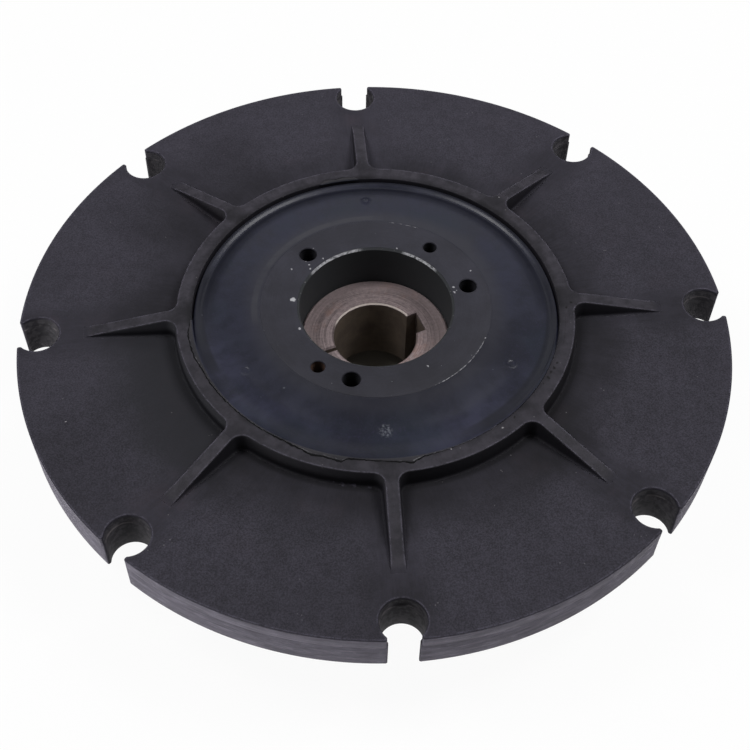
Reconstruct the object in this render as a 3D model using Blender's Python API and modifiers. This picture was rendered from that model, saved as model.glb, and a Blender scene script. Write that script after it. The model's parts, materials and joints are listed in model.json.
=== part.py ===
# Flexible flywheel coupling with a bonded rubber ring and a split taper bush.
# Units are metres. The coupling lies on its back, with the ribbed side up. The origin is on the
# shaft axis, at the lowest point, which is the face of the three screw heads. +X passes through
# the middle of one edge notch.

import math

import bmesh
import bpy
from mathutils import Matrix

# Outer flange: the standard 11 1/2 inch flywheel pattern, with a 333.4 mm bolt circle
FLANGE_DIAMETER = 0.3524
HOLE_CENTRE_TO_RIM = 0.0095
NOTCH_COUNT = 8
NOTCH_HOLE_DIAMETER = 0.0209
NOTCH_MOUTH_WIDTH = 0.0148
NOTCH_CORNER_CHAMFER = 0.0010
FLANGE_THICKNESS = 0.0225
RIM_DRAFT = 0.0006
RIM_EDGE_CHAMFER = 0.0007

# Raised ring around the rubber
RING_WALL = 0.0081
RING_HEIGHT = 0.0095
RING_DRAFT = 0.0006
RING_EDGE_CHAMFER = 0.0005

# Ribs between the ring and the disc
RIB_TOP_WIDTH = 0.0068
RIB_FOOT_WIDTH = 0.0082
RIB_FILLET_RADIUS = 0.0055
RIB_SLOPE_LENGTH = 0.0402

# Rubber ring: its width from hub to raised ring, then its front and back surfaces. Insets are
# measured from the raised ring's bore, and depths from the raised ring's top.
RUBBER_WIDTH = 0.0332
RUBBER_STEP_BELOW_HUB = 0.0012
RUBBER_SHOULDER_INSET = 0.0102
RUBBER_SHOULDER_DEPTH = 0.0009
RUBBER_VALLEY_INSET = 0.0057
RUBBER_VALLEY_DEPTH = 0.0043
RUBBER_BEAD_INSET = 0.0026
RUBBER_BEAD_DEPTH = 0.0029
RUBBER_CREVICE_DEPTH = 0.0050
RUBBER_BACK_LIP = 0.0030
RUBBER_BACK_HOLLOW = 0.0055

# Hub: its wall is measured from the mouth of its bore
HUB_MOUTH_DIAMETER = 0.0754
HUB_MOUTH_CHAMFER = 0.0011
HUB_WALL = 0.0193
HUB_LENGTH = 0.0480
HUB_STANDS_ABOVE_DISC = 0.0111
HUB_EDGE_CHAMFER = 0.0006
HUB_BACK_CHAMFER = 0.0015

# Tapped holes in the hub: three take the bush screws from behind, two take a puller
HOLE_CENTRE_TO_MOUTH = 0.0100
SCREW_COUNT = 3
SCREW_FIRST_ANGLE = math.radians(12.0)
SCREW_MOUTH_DIAMETER = 0.0088
PULLER_HOLE_COUNT = 2
PULLER_HOLE_FIRST_ANGLE = math.radians(50.8)
PULLER_HOLE_DIAMETER = 0.0069
PULLER_HOLE_DEPTH = 0.0260

# Split taper bush
BUSH_FACE_DEPTH = 0.0236
BUSH_TAPER_RATIO = 1.0 / 16.0
BUSH_BORE_DIAMETER = 0.0420
BUSH_BORE_CHAMFER = 0.0008
BUSH_FLANGE_OVERHANG = 0.0005
BUSH_FLANGE_THICKNESS = 0.0115
BUSH_EDGE_CHAMFER = 0.0010
DRAW_GAP = 0.0030
KEYWAY_ANGLE = math.radians(18.9)
KEYWAY_WIDTH = 0.0120
KEYWAY_DEPTH = 0.0044
SLIT_WIDTH = 0.0018
JACK_HOLE_DIAMETER = 0.0088
JACK_HOLE_OFFSET_ANGLE = math.radians(40.0)

# Bush screws and their spring washers
SCREW_DIAMETER = 0.0100
SCREW_LENGTH = 0.0350
SCREW_HEAD_ACROSS_FLATS = 0.0160
SCREW_HEAD_HEIGHT = 0.0064
SCREW_END_CHAMFER = 0.0010
SCREW_HOLE_CLEARANCE = 0.0005
WASHER_RIM_WIDTH = 0.0036
WASHER_CLEARANCE = 0.0004
WASHER_THICKNESS = 0.0022
WASHER_SPLIT_WIDTH = 0.0016

# Gap between solids that touch on the real coupling
FIT_GAP = 0.0003

# Facets around a turn, and along a rounded corner
LARGE_TURN_STEPS = 96
BUSH_TURN_STEPS = 64
SMALL_TURN_STEPS = 24
ARC_STEPS = 6
CUT_MARGIN = 0.0040

# Heights, worked out upwards from the screw heads
WASHER_BASE_Z = SCREW_HEAD_HEIGHT + FIT_GAP
BUSH_BACK_Z = WASHER_BASE_Z + WASHER_THICKNESS + FIT_GAP
BUSH_FLANGE_TOP_Z = BUSH_BACK_Z + BUSH_FLANGE_THICKNESS
HUB_BACK_Z = BUSH_FLANGE_TOP_Z + DRAW_GAP
HUB_FACE_Z = HUB_BACK_Z + HUB_LENGTH
DISC_FACE_Z = HUB_FACE_Z - HUB_STANDS_ABOVE_DISC
DISC_BACK_Z = DISC_FACE_Z - FLANGE_THICKNESS
RING_TOP_Z = DISC_FACE_Z + RING_HEIGHT
BUSH_FACE_Z = HUB_FACE_Z - BUSH_FACE_DEPTH
SCREW_TIP_Z = SCREW_HEAD_HEIGHT + SCREW_LENGTH

# Radii, worked out outwards from the bush
HUB_MOUTH_RADIUS = HUB_MOUTH_DIAMETER / 2
HUB_HOLE_RADIUS = HUB_MOUTH_RADIUS + HOLE_CENTRE_TO_MOUTH
HUB_RADIUS = HUB_MOUTH_RADIUS + HUB_WALL
BUSH_FLANGE_RADIUS = HUB_RADIUS + BUSH_FLANGE_OVERHANG
RING_BORE_RADIUS = HUB_RADIUS + RUBBER_WIDTH
RING_OUTER_RADIUS = RING_BORE_RADIUS + RING_WALL
RIB_SLOPE_START = RING_OUTER_RADIUS + RIB_FILLET_RADIUS
RIB_SLOPE_END = RIB_SLOPE_START + RIB_SLOPE_LENGTH
FLANGE_RADIUS = FLANGE_DIAMETER / 2
NOTCH_CENTRE_RADIUS = FLANGE_RADIUS - HOLE_CENTRE_TO_RIM


def new_collection(name):
    """Add a collection to the scene."""
    collection = bpy.data.collections.new(name)
    bpy.context.scene.collection.children.link(collection)
    return collection


def principled(name, colour, roughness, metallic):
    """Make one plain Principled material."""
    material = bpy.data.materials.new(name)
    material.use_nodes = True
    shader = material.node_tree.nodes["Principled BSDF"]
    shader.inputs["Base Color"].default_value = (*colour, 1.0)
    shader.inputs["Roughness"].default_value = roughness
    shader.inputs["Metallic"].default_value = metallic
    material.diffuse_color = (*colour, 1.0)
    return material


def add_object(name, mesh, collection, material=None):
    """Put a mesh in a collection under one name, with its material."""
    thing = bpy.data.objects.new(name, mesh)
    collection.objects.link(thing)
    if material is not None:
        mesh.materials.append(material)
    return thing


def evaluated_mesh(thing, name):
    """Copy an object's mesh with its modifiers applied and its seams merged."""
    bpy.context.view_layer.update()
    graph = bpy.context.evaluated_depsgraph_get()
    mesh = bpy.data.meshes.new_from_object(thing.evaluated_get(graph), depsgraph=graph)
    mesh.name = name
    shape = bmesh.new()
    shape.from_mesh(mesh)
    bmesh.ops.remove_doubles(shape, verts=shape.verts, dist=0.000001)
    bmesh.ops.recalc_face_normals(shape, faces=shape.faces)
    shape.to_mesh(mesh)
    shape.free()
    return mesh


def shade_round(thing):
    """Shade a turned piece smooth, with its edges kept crisp."""
    thing.data.shade_smooth()
    thing.data.set_sharp_from_angle(angle=math.radians(35.0))


def turned(name, profile, steps, collection, material=None):
    """Turn a closed outline of (radius, height) points, outer side first and running down."""
    mesh = bpy.data.meshes.new(name)
    corners = [(radius, 0.0, height) for radius, height in profile]
    sides = [(i, (i + 1) % len(corners)) for i in range(len(corners))]
    mesh.from_pydata(corners, sides, [])
    thing = add_object(name, mesh, collection)
    screw = thing.modifiers.new("Turn", "SCREW")
    screw.axis = "Z"
    screw.angle = math.tau
    screw.steps = steps
    screw.render_steps = steps
    screw.use_merge_vertices = True
    screw.merge_threshold = 0.00001
    solid = evaluated_mesh(thing, name)
    thing.modifiers.remove(screw)
    thing.data = solid
    bpy.data.meshes.remove(mesh)
    if material is not None:
        solid.materials.append(material)
    return thing


def arc(centre_x, centre_y, radius, start, end, steps=ARC_STEPS):
    """Points of a flat arc, both ends included."""
    turn = (end - start) / steps
    return [
        (centre_x + radius * math.cos(start + i * turn), centre_y + radius * math.sin(start + i * turn))
        for i in range(steps + 1)
    ]


def plate(name, outline, low, high, collection):
    """Extrude a flat outline between two heights."""
    curve = bpy.data.curves.new(name, "CURVE")
    curve.dimensions = "2D"
    curve.fill_mode = "BOTH"
    curve.extrude = (high - low) / 2
    spline = curve.splines.new("POLY")
    spline.points.add(len(outline) - 1)
    for point, (x, y) in zip(spline.points, outline):
        point.co = (x, y, 0.0, 1.0)
    spline.use_cyclic_u = True
    guide = bpy.data.objects.new(name + "_outline", curve)
    collection.objects.link(guide)
    mesh = evaluated_mesh(guide, name)
    bpy.data.objects.remove(guide)
    bpy.data.curves.remove(curve)
    for corner in mesh.vertices:
        corner.co.z += (low + high) / 2
    return add_object(name, mesh, collection)


def cylinder(name, radius, low, high, steps, collection, centre=(0.0, 0.0)):
    """A plain upright cylinder between two heights."""
    mesh = bpy.data.meshes.new(name)
    shape = bmesh.new()
    bmesh.ops.create_cone(
        shape,
        cap_ends=True,
        segments=steps,
        radius1=radius,
        radius2=radius,
        depth=high - low,
    )
    bmesh.ops.translate(shape, verts=shape.verts, vec=(centre[0], centre[1], (low + high) / 2))
    shape.to_mesh(mesh)
    shape.free()
    return add_object(name, mesh, collection)


def block(name, x_range, width, z_range, collection):
    """A box centred on the X axis."""
    mesh = bpy.data.meshes.new(name)
    shape = bmesh.new()
    bmesh.ops.create_cube(shape, size=1.0)
    length = x_range[1] - x_range[0]
    height = z_range[1] - z_range[0]
    bmesh.ops.scale(shape, verts=shape.verts, vec=(length, width, height))
    middle = (sum(x_range) / 2, 0.0, sum(z_range) / 2)
    bmesh.ops.translate(shape, verts=shape.verts, vec=middle)
    shape.to_mesh(mesh)
    shape.free()
    return add_object(name, mesh, collection)


def as_cutter(thing):
    """Show a cutter as a wire and keep it out of renders."""
    thing.display_type = "WIRE"
    thing.hide_render = True
    return thing


def boolean(thing, other, operation):
    """Combine two solids with an exact boolean."""
    modifier = thing.modifiers.new(operation.title() + " " + other.name, "BOOLEAN")
    modifier.operation = operation
    modifier.solver = "EXACT"
    modifier.object = other
    as_cutter(other)


def around(count, first=0.0):
    """Even angles around the axis."""
    return [first + i * math.tau / count for i in range(count)]


def polar(radius, angle):
    """A flat point from its radius and angle."""
    return radius * math.cos(angle), radius * math.sin(angle)


def joined_copies(name, source, angles, collection):
    """Repeat one solid around the axis, as separate islands of one mesh."""
    shape = bmesh.new()
    for angle in angles:
        before = len(shape.verts)
        shape.from_mesh(source.data)
        shape.verts.ensure_lookup_table()
        bmesh.ops.rotate(
            shape,
            verts=shape.verts[before:],
            cent=(0.0, 0.0, 0.0),
            matrix=Matrix.Rotation(angle, 3, "Z"),
        )
    mesh = bpy.data.meshes.new(name)
    shape.to_mesh(mesh)
    shape.free()
    bpy.data.objects.remove(source)
    return add_object(name, mesh, collection)


def notch_outline():
    """Plan of one edge notch: a round hole with a straight mouth and blunt outer corners."""
    radius = NOTCH_HOLE_DIAMETER / 2
    half_mouth = NOTCH_MOUTH_WIDTH / 2
    opening = math.asin(half_mouth / radius)
    rim = math.sqrt(FLANGE_RADIUS**2 - half_mouth**2)
    blunt = rim - NOTCH_CORNER_CHAMFER
    far = rim + CUT_MARGIN
    wall = arc(NOTCH_CENTRE_RADIUS, 0.0, radius, opening, math.tau - opening, 4 * ARC_STEPS)
    lower = [(blunt, -half_mouth), (far, -half_mouth - (far - blunt))]
    upper = [(x, -y) for x, y in reversed(lower)]
    return wall + lower + upper


def notch_cutters(collection):
    """All the edge notches as one cutter."""
    low = DISC_BACK_Z - CUT_MARGIN
    high = DISC_FACE_Z + CUT_MARGIN
    one = plate("notch", notch_outline(), low, high, collection)
    return joined_copies("notches", one, around(NOTCH_COUNT), collection)


def rib_outline():
    """Plan of one rib, with a fillet on each side where it meets the ring."""
    half = RIB_TOP_WIDTH / 2
    side = half + RIB_FILLET_RADIUS
    centre_x = math.sqrt(RIB_SLOPE_START**2 - side**2)
    towards_ring = math.pi + math.atan2(side, centre_x)
    fillet = arc(centre_x, side, RIB_FILLET_RADIUS, towards_ring, 1.5 * math.pi)
    root = RING_OUTER_RADIUS - RING_WALL / 2
    tip = RIB_SLOPE_END + CUT_MARGIN
    upper = [(root, fillet[0][1])] + fillet + [(tip, half)]
    lower = [(x, -y) for x, y in reversed(upper)]
    return upper + lower


def rib_slope_cutter(collection):
    """What lies above the ribs: flat at the ring's top, then falling to the disc."""
    far = RIB_SLOPE_END + 2 * CUT_MARGIN
    fall = RING_HEIGHT / RIB_SLOPE_LENGTH
    top = RING_TOP_Z + CUT_MARGIN
    profile = [
        (far, top),
        (far, RING_TOP_Z - fall * (far - RIB_SLOPE_START)),
        (RIB_SLOPE_START, RING_TOP_Z),
        (RIB_SLOPE_START - CUT_MARGIN, top),
    ]
    return as_cutter(turned("rib_slope", profile, LARGE_TURN_STEPS, collection))


def ribs(collection):
    """All the ribs, widening slightly towards the disc, with their tops cut to the slope."""
    foot = DISC_FACE_Z - FLANGE_THICKNESS / 4
    one = plate("rib", rib_outline(), foot, RING_TOP_Z, collection)
    half = RIB_TOP_WIDTH / 2
    spread = (RIB_FOOT_WIDTH - RIB_TOP_WIDTH) / 2 * (RING_TOP_Z - foot) / RING_HEIGHT
    for corner in one.data.vertices:
        if corner.co.z < DISC_FACE_Z:
            corner.co.y += spread * half / corner.co.y
    whole = joined_copies("ribs", one, around(NOTCH_COUNT), collection)
    boolean(whole, rib_slope_cutter(collection), "DIFFERENCE")
    return whole


def outer_flange(parts, cutters):
    """The disc with its raised ring, ribs and edge notches, moulded in one piece."""
    back_rim = FLANGE_RADIUS - RIM_DRAFT
    profile = [
        (FLANGE_RADIUS - RIM_EDGE_CHAMFER, DISC_FACE_Z),
        (FLANGE_RADIUS, DISC_FACE_Z - RIM_EDGE_CHAMFER),
        (back_rim, DISC_BACK_Z + RIM_EDGE_CHAMFER),
        (back_rim - RIM_EDGE_CHAMFER, DISC_BACK_Z),
        (RING_BORE_RADIUS, DISC_BACK_Z),
        (RING_BORE_RADIUS, RING_TOP_Z - RING_EDGE_CHAMFER),
        (RING_BORE_RADIUS + RING_EDGE_CHAMFER, RING_TOP_Z),
        (RING_OUTER_RADIUS - RING_EDGE_CHAMFER, RING_TOP_Z),
        (RING_OUTER_RADIUS, RING_TOP_Z - RING_EDGE_CHAMFER),
        (RING_OUTER_RADIUS + RING_DRAFT, DISC_FACE_Z),
    ]
    material = principled("moulded_black", (0.042, 0.040, 0.050), 0.62, 0.0)
    flange = turned("outer_flange", profile, LARGE_TURN_STEPS, parts, material)
    boolean(flange, ribs(cutters), "UNION")
    boolean(flange, notch_cutters(cutters), "DIFFERENCE")
    shade_round(flange)
    return flange


def wave(start, end, steps=3):
    """Points from one level stretch to another along half a cosine wave."""
    points = []
    for i in range(steps + 1):
        part = i / steps
        rise = (1 - math.cos(math.pi * part)) / 2
        points.append((start[0] + (end[0] - start[0]) * part, start[1] + (end[1] - start[1]) * rise))
    return points


def rubber_ring(parts):
    """The rubber between hub and ring, with a bead at its edge and a hollowed back."""
    inner = HUB_RADIUS + FIT_GAP
    outer = RING_BORE_RADIUS - FIT_GAP
    shoulder = (RING_BORE_RADIUS - RUBBER_SHOULDER_INSET, RING_TOP_Z - RUBBER_SHOULDER_DEPTH)
    valley = (RING_BORE_RADIUS - RUBBER_VALLEY_INSET, RING_TOP_Z - RUBBER_VALLEY_DEPTH)
    bead = (RING_BORE_RADIUS - RUBBER_BEAD_INSET, RING_TOP_Z - RUBBER_BEAD_DEPTH)
    crevice = (outer, RING_TOP_Z - RUBBER_CREVICE_DEPTH)
    lip = DISC_BACK_Z - RUBBER_BACK_LIP
    roof = DISC_BACK_Z + RUBBER_BACK_HOLLOW
    width = outer - inner
    front_outer = wave(bead, crevice)
    front_inner = wave(shoulder, valley)[:-1] + wave(valley, bead)[:-1]
    back = [
        (outer, DISC_BACK_Z),
        (outer - 0.10 * width, DISC_BACK_Z),
        (outer - 0.28 * width, roof),
        (inner + 0.34 * width, roof),
        (inner + 0.12 * width, lip),
        (inner, lip),
    ]
    profile = front_outer + back + [(inner, HUB_FACE_Z - RUBBER_STEP_BELOW_HUB)] + front_inner
    material = principled("rubber", (0.026, 0.030, 0.044), 0.48, 0.0)
    ring = turned("rubber_ring", profile, LARGE_TURN_STEPS, parts, material)
    shade_round(ring)
    return ring


def bush_radius(height):
    """Outer radius of the tapered barrel at a height; it grows towards the back."""
    small_end = HUB_MOUTH_RADIUS - FIT_GAP
    return small_end + (BUSH_FACE_Z - height) * BUSH_TAPER_RATIO / 2


def hub_hole_cutter(name, radius, low, high, angle, cutters):
    """One hole in the hub or the bush's flange, parallel to the shaft."""
    return cylinder(name, radius, low, high, SMALL_TURN_STEPS, cutters, polar(HUB_HOLE_RADIUS, angle))


def hub(parts, cutters):
    """The steel hub: a stepped and tapered bore, screw holes and puller holes."""
    profile = [
        (HUB_RADIUS - HUB_EDGE_CHAMFER, HUB_FACE_Z),
        (HUB_RADIUS, HUB_FACE_Z - HUB_EDGE_CHAMFER),
        (HUB_RADIUS, HUB_BACK_Z + HUB_BACK_CHAMFER),
        (HUB_RADIUS - HUB_BACK_CHAMFER, HUB_BACK_Z),
        (bush_radius(HUB_BACK_Z) + FIT_GAP, HUB_BACK_Z),
        (HUB_MOUTH_RADIUS, BUSH_FACE_Z),
        (HUB_MOUTH_RADIUS, HUB_FACE_Z - HUB_MOUTH_CHAMFER),
        (HUB_MOUTH_RADIUS + HUB_MOUTH_CHAMFER, HUB_FACE_Z),
    ]
    material = principled("painted_steel", (0.034, 0.036, 0.047), 0.50, 0.0)
    body = turned("hub", profile, BUSH_TURN_STEPS, parts, material)
    above = HUB_FACE_Z + CUT_MARGIN
    below = HUB_BACK_Z - CUT_MARGIN
    thread_top = SCREW_TIP_Z + SCREW_HOLE_CLEARANCE
    thread_radius = SCREW_DIAMETER / 2 + FIT_GAP
    for number, angle in enumerate(around(SCREW_COUNT, SCREW_FIRST_ANGLE), 1):
        mouth = hub_hole_cutter(
            "screw_mouth_%d" % number, SCREW_MOUTH_DIAMETER / 2, below, above, angle, cutters
        )
        thread = hub_hole_cutter(
            "screw_thread_%d" % number, thread_radius, below, thread_top, angle, cutters
        )
        boolean(body, mouth, "DIFFERENCE")
        boolean(body, thread, "DIFFERENCE")
    for number, angle in enumerate(around(PULLER_HOLE_COUNT, PULLER_HOLE_FIRST_ANGLE), 1):
        floor = HUB_FACE_Z - PULLER_HOLE_DEPTH
        puller = hub_hole_cutter(
            "puller_hole_%d" % number, PULLER_HOLE_DIAMETER / 2, floor, above, angle, cutters
        )
        boolean(body, puller, "DIFFERENCE")
    shade_round(body)
    return body


def taper_bush(parts, cutters):
    """The split bush: tapered barrel, flange at the back, bore, keyway and slit."""
    bore = BUSH_BORE_DIAMETER / 2
    profile = [
        (bush_radius(BUSH_FACE_Z) - BUSH_EDGE_CHAMFER, BUSH_FACE_Z),
        (bush_radius(BUSH_FACE_Z - BUSH_EDGE_CHAMFER), BUSH_FACE_Z - BUSH_EDGE_CHAMFER),
        (bush_radius(BUSH_FLANGE_TOP_Z), BUSH_FLANGE_TOP_Z),
        (BUSH_FLANGE_RADIUS - BUSH_EDGE_CHAMFER, BUSH_FLANGE_TOP_Z),
        (BUSH_FLANGE_RADIUS, BUSH_FLANGE_TOP_Z - BUSH_EDGE_CHAMFER),
        (BUSH_FLANGE_RADIUS, BUSH_BACK_Z + BUSH_EDGE_CHAMFER),
        (BUSH_FLANGE_RADIUS - BUSH_EDGE_CHAMFER, BUSH_BACK_Z),
        (bore + BUSH_BORE_CHAMFER, BUSH_BACK_Z),
        (bore, BUSH_BACK_Z + BUSH_BORE_CHAMFER),
        (bore, BUSH_FACE_Z - BUSH_BORE_CHAMFER),
        (bore + BUSH_BORE_CHAMFER, BUSH_FACE_Z),
    ]
    material = principled("machined_steel", (0.36, 0.31, 0.28), 0.38, 1.0)
    bush = turned("taper_bush", profile, BUSH_TURN_STEPS, parts, material)
    low = BUSH_BACK_Z - CUT_MARGIN
    high = BUSH_FACE_Z + CUT_MARGIN
    keyway = block("keyway", (0.0, bore + KEYWAY_DEPTH), KEYWAY_WIDTH, (low, high), cutters)
    keyway.rotation_euler.z = KEYWAY_ANGLE
    boolean(bush, keyway, "DIFFERENCE")
    slit = block("slit", (0.0, BUSH_FLANGE_RADIUS + CUT_MARGIN), SLIT_WIDTH, (low, high), cutters)
    slit.rotation_euler.z = KEYWAY_ANGLE + math.pi
    boolean(bush, slit, "DIFFERENCE")
    flange_high = BUSH_FLANGE_TOP_Z + CUT_MARGIN / 2
    for number, angle in enumerate(around(SCREW_COUNT, SCREW_FIRST_ANGLE), 1):
        radius = SCREW_DIAMETER / 2 + SCREW_HOLE_CLEARANCE
        hole = hub_hole_cutter("bush_screw_hole_%d" % number, radius, low, flange_high, angle, cutters)
        boolean(bush, hole, "DIFFERENCE")
        jack_angle = angle + JACK_HOLE_OFFSET_ANGLE
        jack = hub_hole_cutter(
            "jack_hole_%d" % number, JACK_HOLE_DIAMETER / 2, low, flange_high, jack_angle, cutters
        )
        boolean(bush, jack, "DIFFERENCE")
    shade_round(bush)
    return bush


def bush_screws(parts, cutters):
    """Hexagon-headed screws, put in from behind; their heads are the lowest faces."""
    material = principled("zinc_steel", (0.42, 0.42, 0.42), 0.36, 1.0)
    shank = SCREW_DIAMETER / 2
    profile = [
        (shank - SCREW_END_CHAMFER, SCREW_TIP_Z),
        (shank, SCREW_TIP_Z - SCREW_END_CHAMFER),
        (shank, SCREW_HEAD_HEIGHT / 2),
        (0.0, SCREW_HEAD_HEIGHT / 2),
        (0.0, SCREW_TIP_Z),
    ]
    shaft = as_cutter(turned("screw_shaft", profile, SMALL_TURN_STEPS, cutters))
    head_radius = SCREW_HEAD_ACROSS_FLATS / 2 / math.cos(math.pi / 6)
    head = cylinder("screw_pattern", head_radius, 0.0, SCREW_HEAD_HEIGHT, 6, cutters)
    boolean(head, shaft, "UNION")
    mesh = evaluated_mesh(head, "bush_screw")
    mesh.materials.append(material)
    bpy.data.objects.remove(head)
    for number, angle in enumerate(around(SCREW_COUNT, SCREW_FIRST_ANGLE), 1):
        screw = bpy.data.objects.new("bush_screw_%d" % number, mesh)
        parts.objects.link(screw)
        screw.location = (*polar(HUB_HOLE_RADIUS, angle), 0.0)
        screw.rotation_euler.z = angle
        shade_round(screw)


def lock_washers(parts, cutters):
    """Split spring washers under the screw heads."""
    material = principled("spring_steel", (0.20, 0.20, 0.21), 0.42, 1.0)
    inner = SCREW_DIAMETER / 2 + WASHER_CLEARANCE
    outer = inner + WASHER_RIM_WIDTH
    top = WASHER_BASE_Z + WASHER_THICKNESS
    profile = [(outer, top), (outer, WASHER_BASE_Z), (inner, WASHER_BASE_Z), (inner, top)]
    pattern = turned("washer_pattern", profile, SMALL_TURN_STEPS, cutters)
    z_range = (WASHER_BASE_Z - CUT_MARGIN, top + CUT_MARGIN)
    split = block("washer_split", (0.0, outer + CUT_MARGIN), WASHER_SPLIT_WIDTH, z_range, cutters)
    boolean(pattern, split, "DIFFERENCE")
    mesh = evaluated_mesh(pattern, "lock_washer")
    mesh.materials.append(material)
    bpy.data.objects.remove(pattern)
    for number, angle in enumerate(around(SCREW_COUNT, SCREW_FIRST_ANGLE), 1):
        washer = bpy.data.objects.new("lock_washer_%d" % number, mesh)
        parts.objects.link(washer)
        washer.location = (*polar(HUB_HOLE_RADIUS, angle), 0.0)
        washer.rotation_euler.z = angle
        shade_round(washer)


def clear_scene():
    """Start from an empty scene."""
    for thing in list(bpy.data.objects):
        bpy.data.objects.remove(thing)


def main():
    clear_scene()
    parts = new_collection("flexible_drive_coupling")
    cutters = new_collection("cutters")
    outer_flange(parts, cutters)
    rubber_ring(parts)
    hub(parts, cutters)
    taper_bush(parts, cutters)
    bush_screws(parts, cutters)
    lock_washers(parts, cutters)


main()
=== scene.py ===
"""Flexible flywheel coupling: ribbed flange, bonded rubber ring, steel hub and split bush.

The script is laid out as an add-on and run as a script. Lengths are in metres, in the frame of the
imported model: the origin is on the shaft axis at the lowest faces, the ribbed side is up, and +X
passes through the middle of one edge notch.
"""

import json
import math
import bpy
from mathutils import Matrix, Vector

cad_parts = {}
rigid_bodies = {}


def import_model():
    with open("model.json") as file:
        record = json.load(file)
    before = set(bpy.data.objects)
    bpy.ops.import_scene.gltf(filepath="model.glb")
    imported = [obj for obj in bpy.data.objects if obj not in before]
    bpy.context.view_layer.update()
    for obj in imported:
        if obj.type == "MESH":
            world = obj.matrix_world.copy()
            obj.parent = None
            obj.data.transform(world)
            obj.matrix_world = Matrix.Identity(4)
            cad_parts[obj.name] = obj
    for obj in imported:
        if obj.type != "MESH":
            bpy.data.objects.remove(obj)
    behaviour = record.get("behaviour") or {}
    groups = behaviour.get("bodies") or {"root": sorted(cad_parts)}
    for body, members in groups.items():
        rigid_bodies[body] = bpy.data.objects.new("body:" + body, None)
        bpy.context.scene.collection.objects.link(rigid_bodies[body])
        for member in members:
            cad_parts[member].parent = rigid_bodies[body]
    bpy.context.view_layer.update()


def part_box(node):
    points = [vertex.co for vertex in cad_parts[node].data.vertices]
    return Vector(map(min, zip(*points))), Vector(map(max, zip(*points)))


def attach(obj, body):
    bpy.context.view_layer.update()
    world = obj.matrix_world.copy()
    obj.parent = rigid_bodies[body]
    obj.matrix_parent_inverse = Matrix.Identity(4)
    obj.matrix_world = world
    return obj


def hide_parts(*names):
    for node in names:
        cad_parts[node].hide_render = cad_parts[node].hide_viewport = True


bl_info = {
    "name": "Flexible Flywheel Coupling",
    "version": (1, 0, 0),
    "blender": (4, 5, 0),
    "location": "3D View > Sidebar > Coupling",
    "description": "Builds a flexible flywheel coupling with its studio",
    "category": "Add Mesh",
}

import bmesh
import bpy
from mathutils import Matrix, Vector, noise

for left_over in list(bpy.data.objects):
    bpy.data.objects.remove(left_over)

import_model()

MM = 0.001
MERGE_DISTANCE = 0.00001
TINY = 1e-5
ORIGIN = (0.0, 0.0)

# Steps of the curves: a rib's slope, its fillet, the ring, the bore, a notch and the rim beside it
RIB_STEPS = 14
FILLET_STEPS = 9
RING_STEPS = 11
BORE_STEPS = 15
NOTCH_STEPS = 22
RIM_STEPS = 15
# Steps round the rubber, the hub, the bush, half its bore, its screw holes and the threads, and
# the rows in one turn of a thread
RUBBER_STEPS = 240
HUB_STEPS = 160
BUSH_STEPS = 140
HALF_BORE_STEPS = 44
CLEARANCE_STEPS = 32
THREAD_STEPS = 24
THREAD_ROWS = 6

BUSH_TAPER = 1 / 32
PULLER_PITCH = 1.25 * MM
BURR = 0.2 * MM

FLANGE_LOW, FLANGE_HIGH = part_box("outer_flange")
HUB_LOW, HUB_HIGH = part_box("hub")
BUSH_LOW, BUSH_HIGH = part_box("taper_bush")
_, SCREW_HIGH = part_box("bush_screw_1")
WASHER_LOW, WASHER_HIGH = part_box("lock_washer_1")


# Settings


def length(name, default, description):
    """A length that the user may change."""
    return bpy.props.FloatProperty(
        name=name,
        description=description,
        default=default,
        min=0.0,
        unit="LENGTH",
        subtype="DISTANCE",
        precision=5,
    )


def angle(name, degrees, description):
    """An angle that the user may change."""
    return bpy.props.FloatProperty(
        name=name,
        description=description,
        default=math.radians(degrees),
        unit="ROTATION",
        subtype="ANGLE",
    )


def colour(name, default, description):
    """A colour that the user may change."""
    return bpy.props.FloatVectorProperty(
        name=name,
        description=description,
        default=default,
        min=0.0,
        max=1.0,
        size=3,
        subtype="COLOR",
    )


def count(name, default, description):
    """A number of like features."""
    return bpy.props.IntProperty(name=name, description=description, default=default, min=1)


class FlangeSettings(bpy.types.PropertyGroup):
    """The moulded flange: disc, raised ring, ribs and edge notches."""

    notches: count("Notches", 8, "Edge notches, each in line with a rib")
    hole_to_rim: length("Hole Centre to Rim", 0.0095, "From a notch's hole centre to the rim")
    hole_diameter: length("Hole Diameter", 0.0209, "Diameter of a notch's round hole")
    mouth_width: length("Mouth Width", 0.0148, "Width of a notch's open mouth")
    mouth_round: length("Mouth Rounding", 0.0010, "Radius of a mouth's outer corners")
    ring_height: length("Ring Height", 0.0095, "Height of the raised ring above the disc")
    ring_bore: length("Ring Bore", 0.0902, "Inner radius of the raised ring")
    ring_wall: length("Ring Wall", 0.0081, "Width of the raised ring")
    rib_width: length("Rib Width", 0.0068, "Width of a rib along its top")
    rib_fillet: length("Rib Fillet", 0.0055, "Fillet in plan between a rib and the ring")
    rib_slope: length("Rib Slope", 0.0402, "Length of a rib's sloping top")
    edge_round: length("Edge Rounding", 0.0006, "Radius of the moulded edges")
    foot_fillet: length("Foot Fillet", 0.0011, "Fillet between the disc and what stands on it")
    draft: length("Draft", 0.0006, "How far the drafted walls lean from end to end")
    face: colour("Face", (0.0325, 0.0302, 0.0410), "Colour of the moulded faces")
    rim: colour("Rim", (0.135, 0.125, 0.155), "Colour of the machined rim")


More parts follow.
